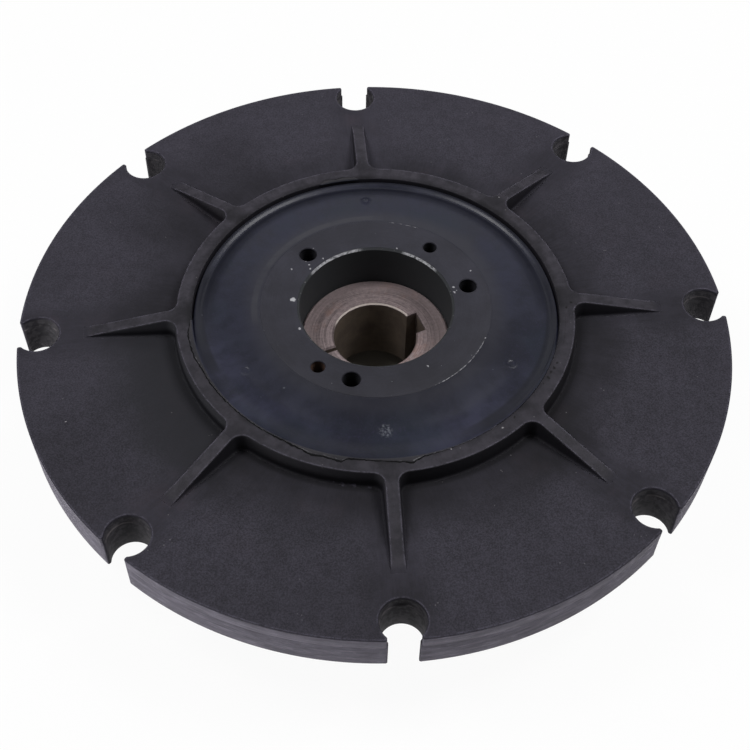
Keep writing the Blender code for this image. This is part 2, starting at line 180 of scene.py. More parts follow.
class RubberSettings(bpy.types.PropertyGroup):
    """The rubber between hub and raised ring."""

    step_below_hub: length("Step Below Hub", 0.0012, "How far the rubber lies below the hub")
    shoulder: length("Shoulder", 0.0118, "From the ring's bore to the rubber's shoulder")
    valley: length("Valley", 0.0042, "From the ring's bore to the valley inside the bead")
    valley_depth: length("Valley Depth", 0.0028, "Depth of the valley below the ring's top")
    bead: length("Bead", 0.0016, "From the ring's bore to the bead's crest")
    bead_depth: length("Bead Depth", 0.0017, "Depth of the bead's crest below the ring's top")
    crevice_depth: length("Crevice Depth", 0.0050, "Depth of the crevice beside the ring")
    back_lip: length("Back Lip", 0.0030, "How far the rubber runs along the hub past the disc")
    back_hollow: length("Back Hollow", 0.0055, "Depth of the hollow at the back")
    skin: length("Skin", 0.00022, "Thickness of the flash over the ring's inner edge")
    face: colour("Face", (0.0145, 0.0160, 0.0300), "Colour of the rubber")


class HubSettings(bpy.types.PropertyGroup):
    """The coated steel hub."""

    radius: length("Radius", HUB_HIGH.y, "Outer radius")
    mouth: length("Mouth Radius", 0.0377, "Radius of the bore's mouth")
    mouth_chamfer: length("Mouth Chamfer", 0.0011, "Chamfer at the bore's mouth")
    edge: length("Edge Rounding", 0.0003, "Rounding of the front edge")
    back_chamfer: length("Back Chamfer", 0.0015, "Chamfer of the back edge")
    hole_circle: length("Hole Circle", 0.0477, "Radius of the circle of tapped holes")
    screw_holes: count("Screw Holes", 3, "Holes for the bush screws")
    screw_hole: length("Screw Hole", 0.0044, "Radius of a screw hole at the front")
    first_screw: angle("First Screw", 12.0, "Angle of the first screw hole")
    puller_hole: length("Puller Hole", 0.00345, "Radius of a puller hole")
    puller_depth: length("Puller Depth", 0.0260, "Depth of a puller hole")
    first_puller: angle("First Puller Hole", 50.8, "Angle of the first puller hole")
    coat: colour("Coat", (0.0275, 0.0272, 0.0375), "Colour of the coat")
    bare: colour("Bare", (0.52, 0.52, 0.55), "Colour of the chipped edges")


class BushSettings(bpy.types.PropertyGroup):
    """The split taper bush."""

    bore: length("Bore", 0.0210, "Radius of the shaft's bore")
    bore_chamfer: length("Bore Chamfer", 0.0008, "Chamfer at the ends of the bore")
    edge: length("Edge Chamfer", 0.0010, "Chamfer of the outer edges")
    flange: length("Flange Thickness", 0.0115, "Thickness of the flange at the back")
    key_angle: angle("Keyway Angle", 18.9, "Angle of the keyway; the slit is opposite")
    key_width: length("Keyway Width", 0.0120, "Width of the keyway")
    key_depth: length("Keyway Depth", 0.0044, "Depth of the keyway")
    slit: length("Slit", 0.0018, "Width of the slit")
    jack_hole: length("Jack Hole", 0.0044, "Radius of a tapped jack hole")
    jack_offset: angle("Jack Offset", 40.0, "Angle from a screw to its jack hole")
    steel: colour("Steel", (0.240, 0.191, 0.194), "Colour of the turned steel")
    rust: colour("Rust", (0.22, 0.12, 0.09), "Colour of the rust film")


class ScrewSettings(bpy.types.PropertyGroup):
    """Bush screws and their spring washers."""

    thread: length("Thread", 0.0050, "Radius of the thread")
    pitch: length("Pitch", 0.0015, "Rise of the thread in one turn")
    across_flats: length("Across Flats", 0.0160, "Width of the hexagon head")
    head: length("Head Height", 0.0064, "Height of the hexagon head")
    washer_inner: length("Washer Inner", 0.0054, "Inner radius of a washer")
    washer_outer: length("Washer Outer", 0.0090, "Outer radius of a washer")
    zinc: colour("Zinc", (0.46, 0.46, 0.45), "Colour of the plated screws")
    spring: colour("Spring Steel", (0.16, 0.16, 0.17), "Colour of the washers")


class StudioSettings(bpy.types.PropertyGroup):
    """Floor, lamps and camera."""

    floor: length("Floor Radius", 6.0, "Radius of the floor")
    lens: bpy.props.FloatProperty(
        name="Lens", description="Focal length", default=64.557, min=1.0, unit="CAMERA"
    )
    distance: length("Distance", 0.67002, "From the camera to the disc's centre along its view")
    elevation: angle("Elevation", 52.1814, "Angle at which the camera looks down")
    roll: angle("Roll", 1.3987, "Turn of the camera about its view")
    turn: angle("Turn", -5.1322, "Turn of the camera about the shaft axis")
    slide: length("Slide", 0.02775, "How far the camera stands below the view's middle")
    background: colour("Background", (1.0, 1.0, 1.0), "Colour behind the object")


class CouplingSettings(bpy.types.PropertyGroup):
    """All settings of the coupling."""

    flange: bpy.props.PointerProperty(type=FlangeSettings, name="Flange", description="Flange")
    rubber: bpy.props.PointerProperty(type=RubberSettings, name="Rubber", description="Rubber")
    hub: bpy.props.PointerProperty(type=HubSettings, name="Hub", description="Hub")
    bush: bpy.props.PointerProperty(type=BushSettings, name="Bush", description="Bush")
    screws: bpy.props.PointerProperty(type=ScrewSettings, name="Screws", description="Screws")
    studio: bpy.props.PointerProperty(type=StudioSettings, name="Studio", description="Studio")


# Outlines


def polar(radius, turn):
    """A flat point from its radius and angle."""
    return radius * math.cos(turn), radius * math.sin(turn)


def beside(centre, radius, turn, height):
    """A point at a distance from an upright axis."""
    x, y = polar(radius, turn)
    return centre[0] + x, centre[1] + y, height


def arc(centre, radius, start, end, steps):
    """Points of a flat arc, both ends included."""
    spokes = [polar(radius, start + (end - start) * i / steps) for i in range(steps + 1)]
    return [(centre[0] + x, centre[1] + y) for x, y in spokes]


def round_corner(points, index, radius, steps):
    """Replace one corner of a flat line by an arc that touches both of its sides."""
    corner = Vector(points[index])
    before = (Vector(points[index - 1]) - corner).normalized()
    after = (Vector(points[(index + 1) % len(points)]) - corner).normalized()
    half = before.angle(after) / 2
    reach = radius / math.tan(half)
    centre = corner + (before + after).normalized() * (radius / math.sin(half))
    start = corner + before * reach - centre
    sweep = start.angle_signed(corner + after * reach - centre)
    turned = []
    for i in range(steps + 1):
        spoke = Matrix.Rotation(-sweep * i / steps, 2) @ start
        turned.append(tuple(centre + spoke))
    return points[:index] + turned + points[index + 1 :]


def side_normals(points, first=None, last=None):
    """Right-hand normals of a flat line, mitred at its corners."""
    closed = first is None
    normals = []
    for i, point in enumerate(points):
        here = Vector(point)
        before = here - Vector(points[i - 1])
        after = Vector(points[(i + 1) % len(points)]) - here
        if not closed and i in (0, len(points) - 1):
            normals.append(Vector(first if i == 0 else last))
            continue
        sides = [Vector((step.y, -step.x)).normalized() for step in (before, after)]
        middle = (sides[0] + sides[1]).normalized()
        normals.append(middle / max(middle.dot(sides[1]), 0.4))
    return normals


def quarter(inset, top, radius, steps=3):
    """A rounded upper edge: from the flat above to the wall at the inset, as (offset, height)."""
    turns = [math.pi / 2 * i / steps for i in range(steps + 1)]
    return [
        (inset - radius + radius * math.sin(t), top - radius + radius * math.cos(t)) for t in turns
    ]


def lower_quarter(inset, bottom, radius):
    """A rounded lower edge: from the wall at the inset to the flat below."""
    upper = reversed(quarter(inset, bottom, radius))
    return [(offset, 2 * bottom - height) for offset, height in upper]


# Mesh pieces


def add_row(shape, points):
    """Add a row of vertices."""
    return [shape.verts.new(point) for point in points]


def bridge(shape, rows, closed=False):
    """Join rows of vertices by smooth quads."""
    for low, high in zip(rows, rows[1:]):
        last = len(low) if closed else len(low) - 1
        for i in range(last):
            j = (i + 1) % len(low)
            face = shape.faces.new((low[i], low[j], high[j], high[i]))
            face.smooth = True


def flat_face(shape, corners):
    """Add one flat face."""
    face = shape.faces.new(corners)
    face.smooth = False
    return face


def flat_fill(shape, loops):
    """Fill a flat area between closed loops, the first of them the outer one."""
    edges = []
    for loop in loops:
        for i, corner in enumerate(loop):
            pair = (corner, loop[(i + 1) % len(loop)])
            edges.append(shape.edges.get(pair) or shape.edges.new(pair))
    made = bmesh.ops.triangle_fill(shape, edges=edges, use_beauty=True, normal=(0.0, 0.0, 1.0))
    for face in made["geom"]:
        if isinstance(face, bmesh.types.BMFace):
            face.smooth = False


def turned_rows(shape, section, steps, centre=ORIGIN):
    """Rows of vertices around an upright axis, one for each (radius, height)."""
    spokes = [polar(1.0, math.tau * i / steps) for i in range(steps)]
    return [
        add_row(shape, [(centre[0] + r * x, centre[1] + r * y, height) for x, y in spokes])
        for r, height in section
    ]


def swept_rows(shape, path, normals, sections):
    """Rows of vertices along a flat line whose points each have a list of (offset, height)."""
    rows = []
    for k in range(len(sections[0])):
        points = []
        for (x, y), normal, section in zip(path, normals, sections):
            offset, height = section[k]
            points.append((x + normal.x * offset, y + normal.y * offset, height))
        rows.append(add_row(shape, points))
    return rows


def threaded_rows(shape, centre, radius, depth, pitch, top, bottom):
    """Rows of a helical thread around an upright axis, fading out at both ends."""
    total = max(2, round((top - bottom) / pitch * THREAD_ROWS))
    rows = []
    for j in range(total + 1):
        height = top + (bottom - top) * j / total
        fade = min(1.0, j / THREAD_ROWS, (total - j) / THREAD_ROWS)
        points = []
        for i in range(THREAD_STEPS):
            phase = (height / pitch + i / THREAD_STEPS) % 1.0
            reach = radius + depth * abs(2.0 * phase - 1.0) * fade
            points.append(beside(centre, reach, math.tau * i / THREAD_STEPS, height))
        rows.append(add_row(shape, points))
    return rows


def plain_mesh(shape, name):
    """Turn a bmesh into a mesh as it is."""
    mesh = bpy.data.meshes.new(name)
    shape.to_mesh(mesh)
    shape.free()
    return mesh


def mesh_from(shape, name):
    """Turn a bmesh into a mesh with its seams merged and its faces pointing outwards."""
    bmesh.ops.remove_doubles(shape, verts=shape.verts, dist=MERGE_DISTANCE)
    bmesh.ops.recalc_face_normals(shape, faces=shape.faces)
    return plain_mesh(shape, name)


def crisp(mesh, degrees=35.0):
    """Keep the sharper edges of a mesh whose faces already say which are smooth."""
    mesh.set_sharp_from_angle(angle=math.radians(degrees))
    return mesh


def in_scene(name, data):
    """A new object in the scene."""
    thing = bpy.data.objects.new(name, data)
    bpy.context.scene.collection.objects.link(thing)
    return thing


def place(name, mesh, material, nodes=()):
    """Make a finished piece of a mesh: dress it and let it ride on the coupling."""
    piece = in_scene(name, mesh)
    if material is not None:
        mesh.materials.clear()
        mesh.materials.append(material)
    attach(piece, "root")
    if nodes:
        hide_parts(*nodes)
    return piece


# Node trees


def add_node(tree, kind, settings=None, sockets=None):
    """Add a node, with its settings first and then the values or links of its sockets."""
    node = tree.nodes.new(kind)
    for name, value in (settings or {}).items():
        setattr(node, name, value)
    for key, value in (sockets or {}).items():
        value = getattr(value, "socket", value)
        if isinstance(value, bpy.types.NodeSocket):
            tree.links.new(value, node.inputs[key])
        elif value is not None:
            node.inputs[key].default_value = value
    return node


class Number:
    """A number in a node tree, so that maths on it reads as Python."""

    def __init__(self, tree, socket):
        self.tree = tree
        self.socket = socket

    def maths(self, operation, first, second=None):
        """A maths node; numbers stand for themselves."""
        sockets = {0: first, 1: second}
        node = add_node(self.tree, "ShaderNodeMath", {"operation": operation}, sockets)
        return Number(self.tree, node.outputs[0])

    def __add__(self, other):
        return self.maths("ADD", self, other)

    def __sub__(self, other):
        return self.maths("SUBTRACT", self, other)

    def __rsub__(self, other):
        return self.maths("SUBTRACT", other, self)

    def __mul__(self, other):
        return self.maths("MULTIPLY", self, other)

    def __truediv__(self, other):
        return self.maths("DIVIDE", self, other)

    def __pow__(self, other):
        return self.maths("POWER", self, other)

    __radd__ = __add__
    __rmul__ = __mul__

    def most(self, other):
        """The larger of two numbers."""
        return self.maths("MAXIMUM", self, other)

    def step(self, low, high):
        """Rise smoothly from 0 at low to 1 at high; low may be the larger one."""
        if low > high:
            return 1.0 - self.step(high, low)
        settings = {"interpolation_type": "SMOOTHSTEP"}
        sockets = {"Value": self, "From Min": low, "From Max": high}
        node = add_node(self.tree, "ShaderNodeMapRange", settings, sockets)
        return Number(self.tree, node.outputs["Result"])

    def band(self, low, high, blur):
        """1 between two levels and 0 outside them."""
        return self.step(low - blur, low) * self.step(high + blur, high)


def opaque(tint):
    """A colour with its alpha, or a socket as it is."""
    return (*tint, 1.0) if isinstance(tint, tuple) else tint


class Surface:
    """A Principled material with the node tree that varies it over the object."""

    def __init__(self, name, roughness, metallic=0.0, specular=0.5):
        self.material = bpy.data.materials.new(name)
        self.material.use_nodes = True
        self.tree = self.material.node_tree
        self.shader = self.tree.nodes["Principled BSDF"]
        starts = {"Roughness": roughness, "Metallic": metallic, "Specular IOR Level": specular}
        for socket, value in starts.items():
            self.shader.inputs[socket].default_value = value
        self.place = self.node("ShaderNodeTexCoord").outputs["Object"]
        parts = self.node("ShaderNodeSeparateXYZ", None, {0: self.place})
        self.x, self.y, self.z = [Number(self.tree, socket) for socket in parts.outputs]
        self.radius = (self.x * self.x + self.y * self.y) ** 0.5
        self.body = (0.0, 0.0, 0.0)

    def node(self, kind, settings=None, sockets=None):
        """Add a node to the material."""
        return add_node(self.tree, kind, settings, sockets)

    def vector_maths(self, operation, *values):
        """The outputs of a vector maths node."""
        settings = {"operation": operation}
        return self.node("ShaderNodeVectorMath", settings, dict(enumerate(values))).outputs

    def vector(self, x, y, z):
        """Join three numbers to a vector."""
        return self.node("ShaderNodeCombineXYZ", None, {0: x, 1: y, 2: z}).outputs[0]

    def around(self, turns, outwards, upwards=0.0):
        """Coordinates that follow the shaft axis, without a seam."""
        flat = self.radius.most(TINY)
        across = self.x / flat * turns
        along = self.y / flat * turns
        return self.vector(across, along, self.radius * outwards + self.z * upwards)

    def noise(self, scale, detail=3.0, roughness=0.55, vector=None):
        """Cloudy noise between 0 and 1, over the object or over other coordinates."""
        sockets = {
            "Vector": vector or self.place,
            "Scale": scale,
            "Detail": detail,
            "Roughness": roughness,
        }
        return Number(self.tree, self.node("ShaderNodeTexNoise", None, sockets).outputs[0])

    def streaks(self, detail, roughness, turns, outwards, upwards=0.0):
        """Noise that is drawn out around the shaft axis."""
        return self.noise(1.0, detail, roughness, self.around(turns, outwards, upwards))

    def specks(self, scale, size, share):
        """Sparse small specks of about one size, in the cells of scattered points."""
        chosen = self.noise(scale * 0.37, 0.0).step(1.0 - share, 1.0 - share + 0.02)
        cells = self.node("ShaderNodeTexVoronoi", None, {"Vector": self.place, "Scale": scale})
        distance = Number(self.tree, cells.outputs["Distance"])
        return distance.step(size, size * 0.6) * chosen

    def warped(self, scale, amount):
        """The place, pushed about by noise."""
        field = self.node("ShaderNodeTexNoise", None, {"Vector": self.place, "Scale": scale})
        centred = self.vector_maths("SUBTRACT", field.outputs[1], (0.5, 0.5, 0.5))[0]
        return self.vector_maths("MULTIPLY_ADD", centred, (amount, amount, amount), self.place)[0]

    def spot(self, vector, degrees, radius, height, size):
        """A round mark at one place."""
        x, y = polar(radius, math.radians(degrees))
        distance = self.vector_maths("DISTANCE", vector, (x, y, height))["Value"]
        return Number(self.tree, distance).step(size, size * 0.5)

    def sector(self, start, end, blur=1.5):
        """1 between two angles in degrees, less than half a turn apart."""
        middle = math.radians((start + end) / 2)
        half = math.radians((end - start) / 2)
        turn = (self.x * math.cos(middle) + self.y * math.sin(middle)) / self.radius.most(TINY)
        return turn.step(math.cos(half + math.radians(blur)), math.cos(half))

    def mix(self, factor, first, second):
        """Blend two colours."""
        sockets = {0: factor, 6: opaque(first), 7: opaque(second)}
        settings = {"data_type": "RGBA", "clamp_factor": True}
        return self.node("ShaderNodeMix", settings, sockets).outputs[2]

    def paint(self, share, tint):
        """Blend a colour over the body colour."""
        self.body = self.mix(share, self.body, tint)

    def set(self, name, value):
        """Link a value to one of the shader's sockets."""
        self.tree.links.new(getattr(value, "socket", value), self.shader.inputs[name])

    def finished(self, roughness, height=None, distance=0.0, strength=1.0):
        """Link the body colour, the roughness and the bump, and return the material."""
        self.set("Base Color", self.body)
        self.set("Roughness", roughness)
        if height is not None:
            sockets = {"Height": height, "Distance": distance, "Strength": strength}
            self.set("Normal", self.node("ShaderNodeBump", None, sockets).outputs[0])
        return self.material


def tinted(base, *factors):
    """A colour made lighter or darker, as a whole or channel by channel."""
    shares = factors * (3 // len(factors))
    return tuple(min(1.0, channel * share) for channel, share in zip(base, shares))


# Marks, each at an angle in degrees and a radius, with its size
DENTS = (
    (-25.5, 0.0930, 0.0007),
    (-27.5, 0.0927, 0.0010),
    (-29.5, 0.0921, 0.0009),
    (-31.8, 0.0924, 0.0010),
    (-34.5, 0.0918, 0.0006),
    (-1.5, 0.0968, 0.0009),
    (-3.6, 0.0940, 0.0009),
    (4.0, 0.0985, 0.0008),
    (-50.0, 0.0925, 0.0008),
)
CHIPS = (
    (45.8, 0.1010, 0.0005),
    (12.5, 0.0980, 0.0005),
    (-55.2, 0.0930, 0.0006),
    (-72.0, 0.0912, 0.0005),
    (-160.0, 0.1585, 0.0006),
    (-138.2, 0.1115, 0.0005),
)

# The rubber's pips: an angle in degrees and how far each stands out
PIPS = ((90.0, 1.1), (-32.0, 0.5), (-151.0, 0.4))

# Chips in the hub's face
HUB_MARKS = (
    (-161.0, 0.0402, 0.0009),
    (8.5, 0.0400, 0.0007),
    (10.0, 0.0413, 0.0005),
    (13.5, 0.0405, 0.0009),
    (22.0, 0.0530, 0.0007),
    (9.2, 0.0465, 0.0005),
    (-61.0, 0.0453, 0.0008),
    (147.5, 0.0480, 0.0006),
    (126.0, 0.0490, 0.0005),
    (133.5, 0.0440, 0.0006),
    (127.5, 0.0405, 0.0006),
    (138.0, 0.0425, 0.0007),
    (140.5, 0.0404, 0.0006),
    (137.0, 0.0450, 0.0004),
    (70.0, 0.0395, 0.0006),
    (-25.0, 0.0568, 0.0007),
)


def beside_ribs(surface):
    """Distance to the middle of the nearest of eight ribs, from the angle doubled three times."""
    cosine = surface.x / surface.radius.most(TINY)
    for _ in range(3):
        cosine = cosine * cosine * 2.0 - 1.0
    # Near a rib, 1 - cos(8t) is about 32 times the square of t
    return ((1.0 - cosine) / 32.0).most(0.0) ** 0.5 * surface.radius


def faces_and_edges(surface):
    """Where the mesh faces upwards, and where it has an edge or a corner."""
    normal = surface.node("ShaderNodeNewGeometry").outputs["Normal"]
    parts = surface.node("ShaderNodeSeparateXYZ", None, {0: normal})
    upward = Number(surface.tree, parts.outputs[2]).step(0.75, 0.95)
    rounded = surface.node("ShaderNodeBevel", {"samples": 6}, {"Radius": 1.8 * MM}).outputs[0]
    alike = Number(surface.tree, surface.vector_maths("DOT_PRODUCT", rounded, normal)["Value"])
    return upward, (1.0 - alike).step(0.004, 0.05)


def paint_soil_and_shade(surface, face, drift, from_rib, from_ring, raised, upward):
    """Darker drifts and paler tops, painted shade in the corners, on the walls and at the ring's
    foot, painted shadows, a stained and shaded sector, and painted sheen on the far half of the
    disc.
    """
    radius, y, z = surface.radius, surface.y, surface.z
    disc = 1.0 - raised
    near = y.step(0.03, -0.03)
    surface.paint(drift.step(0.56, 0.40) * 0.22, tinted(face, 0.25))
    cast = (surface.noise(120.0, 5.0, 0.72) * 0.7 + surface.shade * 0.3).step(0.38, 0.62)
    moulded = tinted(face, 0.88, 0.88, 0.84)
    tops = surface.mix(cast, tinted(moulded, 0.72), tinted(face, 1.50, 1.48, 1.38))
    surface.paint(raised * 0.80, tops)
    # Painted shade on the ring and rib tops: darker along the ring's inner edge, over the near
    # half, and where the ribs meet the ring
    at_rib = from_rib.step(9.0 * MM, 3.0 * MM) * radius.step(0.105, 0.100)
    inner_edge = radius.step(0.0940, 0.0908) * 0.5 + at_rib * 0.46
    far = y.step(-0.05, 0.05)
    surface.paint(raised * inner_edge.most(0.24 - far * 0.24), tinted(face, 0.22))
    # Painted shade in the corners between the ring and the ribs on the near half
    corner = from_ring.step(0.136, 0.106) * (from_rib.step(26.0 * MM, 6.0 * MM) * 0.5 + 0.5) * near
    corner = corner * (1.0 - surface.sector(-109.0, -92.0, 5.0) * 0.45)
    surface.paint(corner * disc * 0.85, tinted(face, 0.22))
    sheen = (y.step(-0.02, 0.12) * 0.11).most(surface.sector(152.0, 194.0, 7.0) * 0.09)
    sheen = sheen * radius.step(0.110, 0.140)
    surface.paint(sheen * disc, tinted(face, 2.6))
    # Painted shade on the walls that stand on the disc
    walls = z.step(surface.disc_face + 0.6 * MM, surface.disc_face + 2.0 * MM) * (1.0 - upward)
    surface.paint(walls * 0.6, tinted(face, 0.30))
    # Painted shade on the disc at the ring's foot on the near half
    toe = radius.band(surface.foot - 0.5 * MM, surface.foot + 2.5 * MM, 1.5 * MM) * near
    surface.paint(toe * disc * 0.55, tinted(face, 0.18))
    shadowed = surface.sector(119.0, 149.0, 9.0) * from_ring.step(0.168, 0.125)
    beyond_rib = surface.sector(156.0, 180.0, 6.0) * from_ring.step(0.138, 0.116)
    surface.paint(shadowed.most(beyond_rib * 0.55) * disc * 0.30, tinted(face, 0.25))
    # Painted shade and a greenish stained patch darken a sector on the near left
    stain_and_shade = surface.sector(-172.0, -142.0, 13.0) * from_ring.step(0.148, 0.118)
    surface.paint(stain_and_shade * disc * 0.74, tinted(face, 0.50, 0.54, 0.50))


def paint_wear(surface, face, raised, upward, edges):
    """Pale edge wear and dust at the ring's foot, painted shade for the dents in its top, and
    chips.
    """
    radius = surface.radius
    foot = radius.band(surface.foot, surface.foot + 1.1 * MM, 0.4 * MM)
    foot = foot * surface.z.step(surface.disc_face + 1.6 * MM, surface.disc_face + 0.7 * MM)
    foot = foot * surface.noise(260.0, 3.0, 0.6).step(0.48, 0.60)
    foot = foot * surface.sector(-107.0, -92.0, 5.0) * 0.6
    off_foot = raised.most(radius.step(0.145, 0.150)) * radius.step(0.0912, 0.0930)
    broken = surface.noise(420.0, 3.0, 0.65).step(0.34, 0.60)
    surface.paint((edges * upward * off_foot).most(foot) * broken * 0.65, tinted(face, 3.4))
    warped = surface.warped(500.0, 0.0016)
    top = FLANGE_HIGH.z
    scratches = surface.streaks(2.0, 0.5, 2.0, 1500.0).step(0.55, 0.66)
    # Painted shade for the dents in the ring's top, which are not modelled, together with dark
    # scratches
    dents = surface.sector(-17.0, -5.0, 2.0) * scratches * 0.35
    for degrees, reach, size in DENTS:
        dents = dents.most(surface.spot(warped, degrees, reach, top, size))
    surface.paint(dents * raised * 0.9, tinted(face, 0.08))
    for degrees, reach, size in CHIPS:
        chip = surface.spot(warped, degrees, reach, top, size)
        chip = chip.most(surface.spot(warped, degrees, reach, surface.disc_face, size))
        surface.paint(chip * 0.6, (0.36, 0.35, 0.36))


def paint_notches(surface, grain):
    """The notches' walls, with a painted highlight as a pale broken line along their ledge."""
    outer, disc_face = FLANGE_HIGH.x, surface.disc_face
    wall = surface.radius.step(outer - 1.0 * MM, outer - 1.8 * MM)
    wall = wall * surface.z.step(disc_face - 0.8 * MM, disc_face - 1.6 * MM)
    wall = wall * surface.radius.step(0.150, 0.1505)
    mottled = surface.mix(grain.step(0.4, 0.6), (0.030, 0.0285, 0.032), (0.066, 0.062, 0.068))
    surface.paint(wall * 0.75, mottled)
    # Painted highlight along the ledge
    ledge = wall * surface.z.band(disc_face - 5.4 * MM, disc_face - 5.1 * MM, 0.15 * MM)
    ledge = ledge * surface.noise(130.0, 3.0, 0.6).step(0.44, 0.58)
    surface.paint(ledge * 0.6, (0.135, 0.122, 0.128))


def rim_colour(surface, rim, streaks):
    """The machined rim: turned streaks, a parting line, and darker and paler patches."""
    edge = surface.mix(streaks.step(0.30, 0.72), tinted(rim, 0.72), tinted(rim, 1.25))
    line = surface.disc_face - 7.5 * MM
    parting = surface.z.band(line, line + 0.6 * MM, 0.25 * MM)
    parting = parting * surface.noise(40.0, 3.0, 0.6).step(0.42, 0.60)
    edge = surface.mix(parting * 0.30, edge, tinted(rim, 0.45))
    patchy = surface.streaks(5.0, 0.7, 15.0, 0.0, 330.0)
    edge = surface.mix(patchy.step(0.52, 0.36) * 0.40, edge, tinted(rim, 0.40))
    return surface.mix(patchy.step(0.52, 0.66) * 0.50, edge, tinted(rim, 1.75))


def moulded_black(settings):
    """Glass-filled moulding: mottled matt black with fine fibre streaks and a pale machined rim."""
    surface = Surface("moulded_black", 0.7, specular=0.20)
    surface.disc_face = FLANGE_HIGH.z - settings.ring_height
    surface.foot = settings.ring_bore + settings.ring_wall + settings.draft
    face = tuple(settings.face)
    mottle = surface.noise(26.0, 5.0, 0.62)
    grain = surface.noise(330.0, 3.0, 0.6)
    fibres = surface.streaks(4.0, 0.6, 110.0, 70.0)
    surface.shade = mottle * 0.62 + grain * 0.16 + fibres * 0.22
    shade = surface.shade.step(0.38, 0.62)
    surface.body = surface.mix(shade, tinted(face, 0.46), tinted(face, 0.92))
    warm = surface.noise(44.0, 3.0, 0.5).step(0.56, 0.74) * 0.35
    surface.paint(warm, tinted(face, 1.45, 1.18, 1.10))
    cold = surface.noise(31.0, 3.0, 0.5, surface.around(9.0, 60.0)).step(0.54, 0.72) * 0.4
    surface.paint(cold, tinted(face, 0.92, 0.94, 1.32))
    from_rib = beside_ribs(surface) + (mottle - 0.5) * 22.0 * MM
    from_ring = surface.radius + (mottle - 0.5) * 30.0 * MM
    upward, edges = faces_and_edges(surface)
    disc_face = surface.disc_face
    raised = surface.z.step(disc_face + 0.2 * MM, disc_face + 1.2 * MM) * upward
    # The disc is speckled and paler away from the ring and ribs, plainer and darker beside them
    away_from_walls = from_rib.step(3.0 * MM, 20.0 * MM) * from_ring.step(0.103, 0.130)
    fine = surface.noise(1250.0, 3.0, 0.8).step(0.36, 0.64)
    speckle = fine * 0.78 + surface.noise(150.0, 4.0, 0.7).step(0.36, 0.64) * 0.22
    speckled = surface.mix(speckle, tinted(face, 0.48), tinted(face, 1.58))
    surface.body = surface.mix(1.0 - away_from_walls * 0.8, speckled, surface.body)
    drift = surface.noise(9.0, 2.0, 0.5) * 0.5 + surface.noise(18.0, 3.0, 0.5) * 0.5
    paint_soil_and_shade(surface, face, drift, from_rib, from_ring, raised, upward)
    paint_wear(surface, face, raised, upward, edges)
    paint_notches(surface, grain)
    outer = FLANGE_HIGH.x
    on_rim = surface.radius.step(outer - 0.9 * MM, outer - 0.3 * MM)
    on_rim = on_rim * surface.z.step(disc_face - 0.2 * MM, disc_face - 0.8 * MM)
    streaks = surface.streaks(4.0, 0.65, 5.0, 0.0, 2600.0)
    surface.paint(on_rim, rim_colour(surface, tuple(settings.rim), streaks))
    dust = surface.specks(330.0, 0.13, 0.29).most(surface.specks(140.0, 0.06, 0.24))
    surface.paint(dust * 0.22, (0.30, 0.29, 0.30))
    roughness = 0.64 + mottle * 0.08 + grain * 0.10 - raised * 0.10
    height = grain * 0.5 + fibres * 0.35 + surface.noise(1100.0, 2.0) * 0.3 + streaks * on_rim * 0.8
    return surface.finished(roughness, height, 0.00010, 0.8)


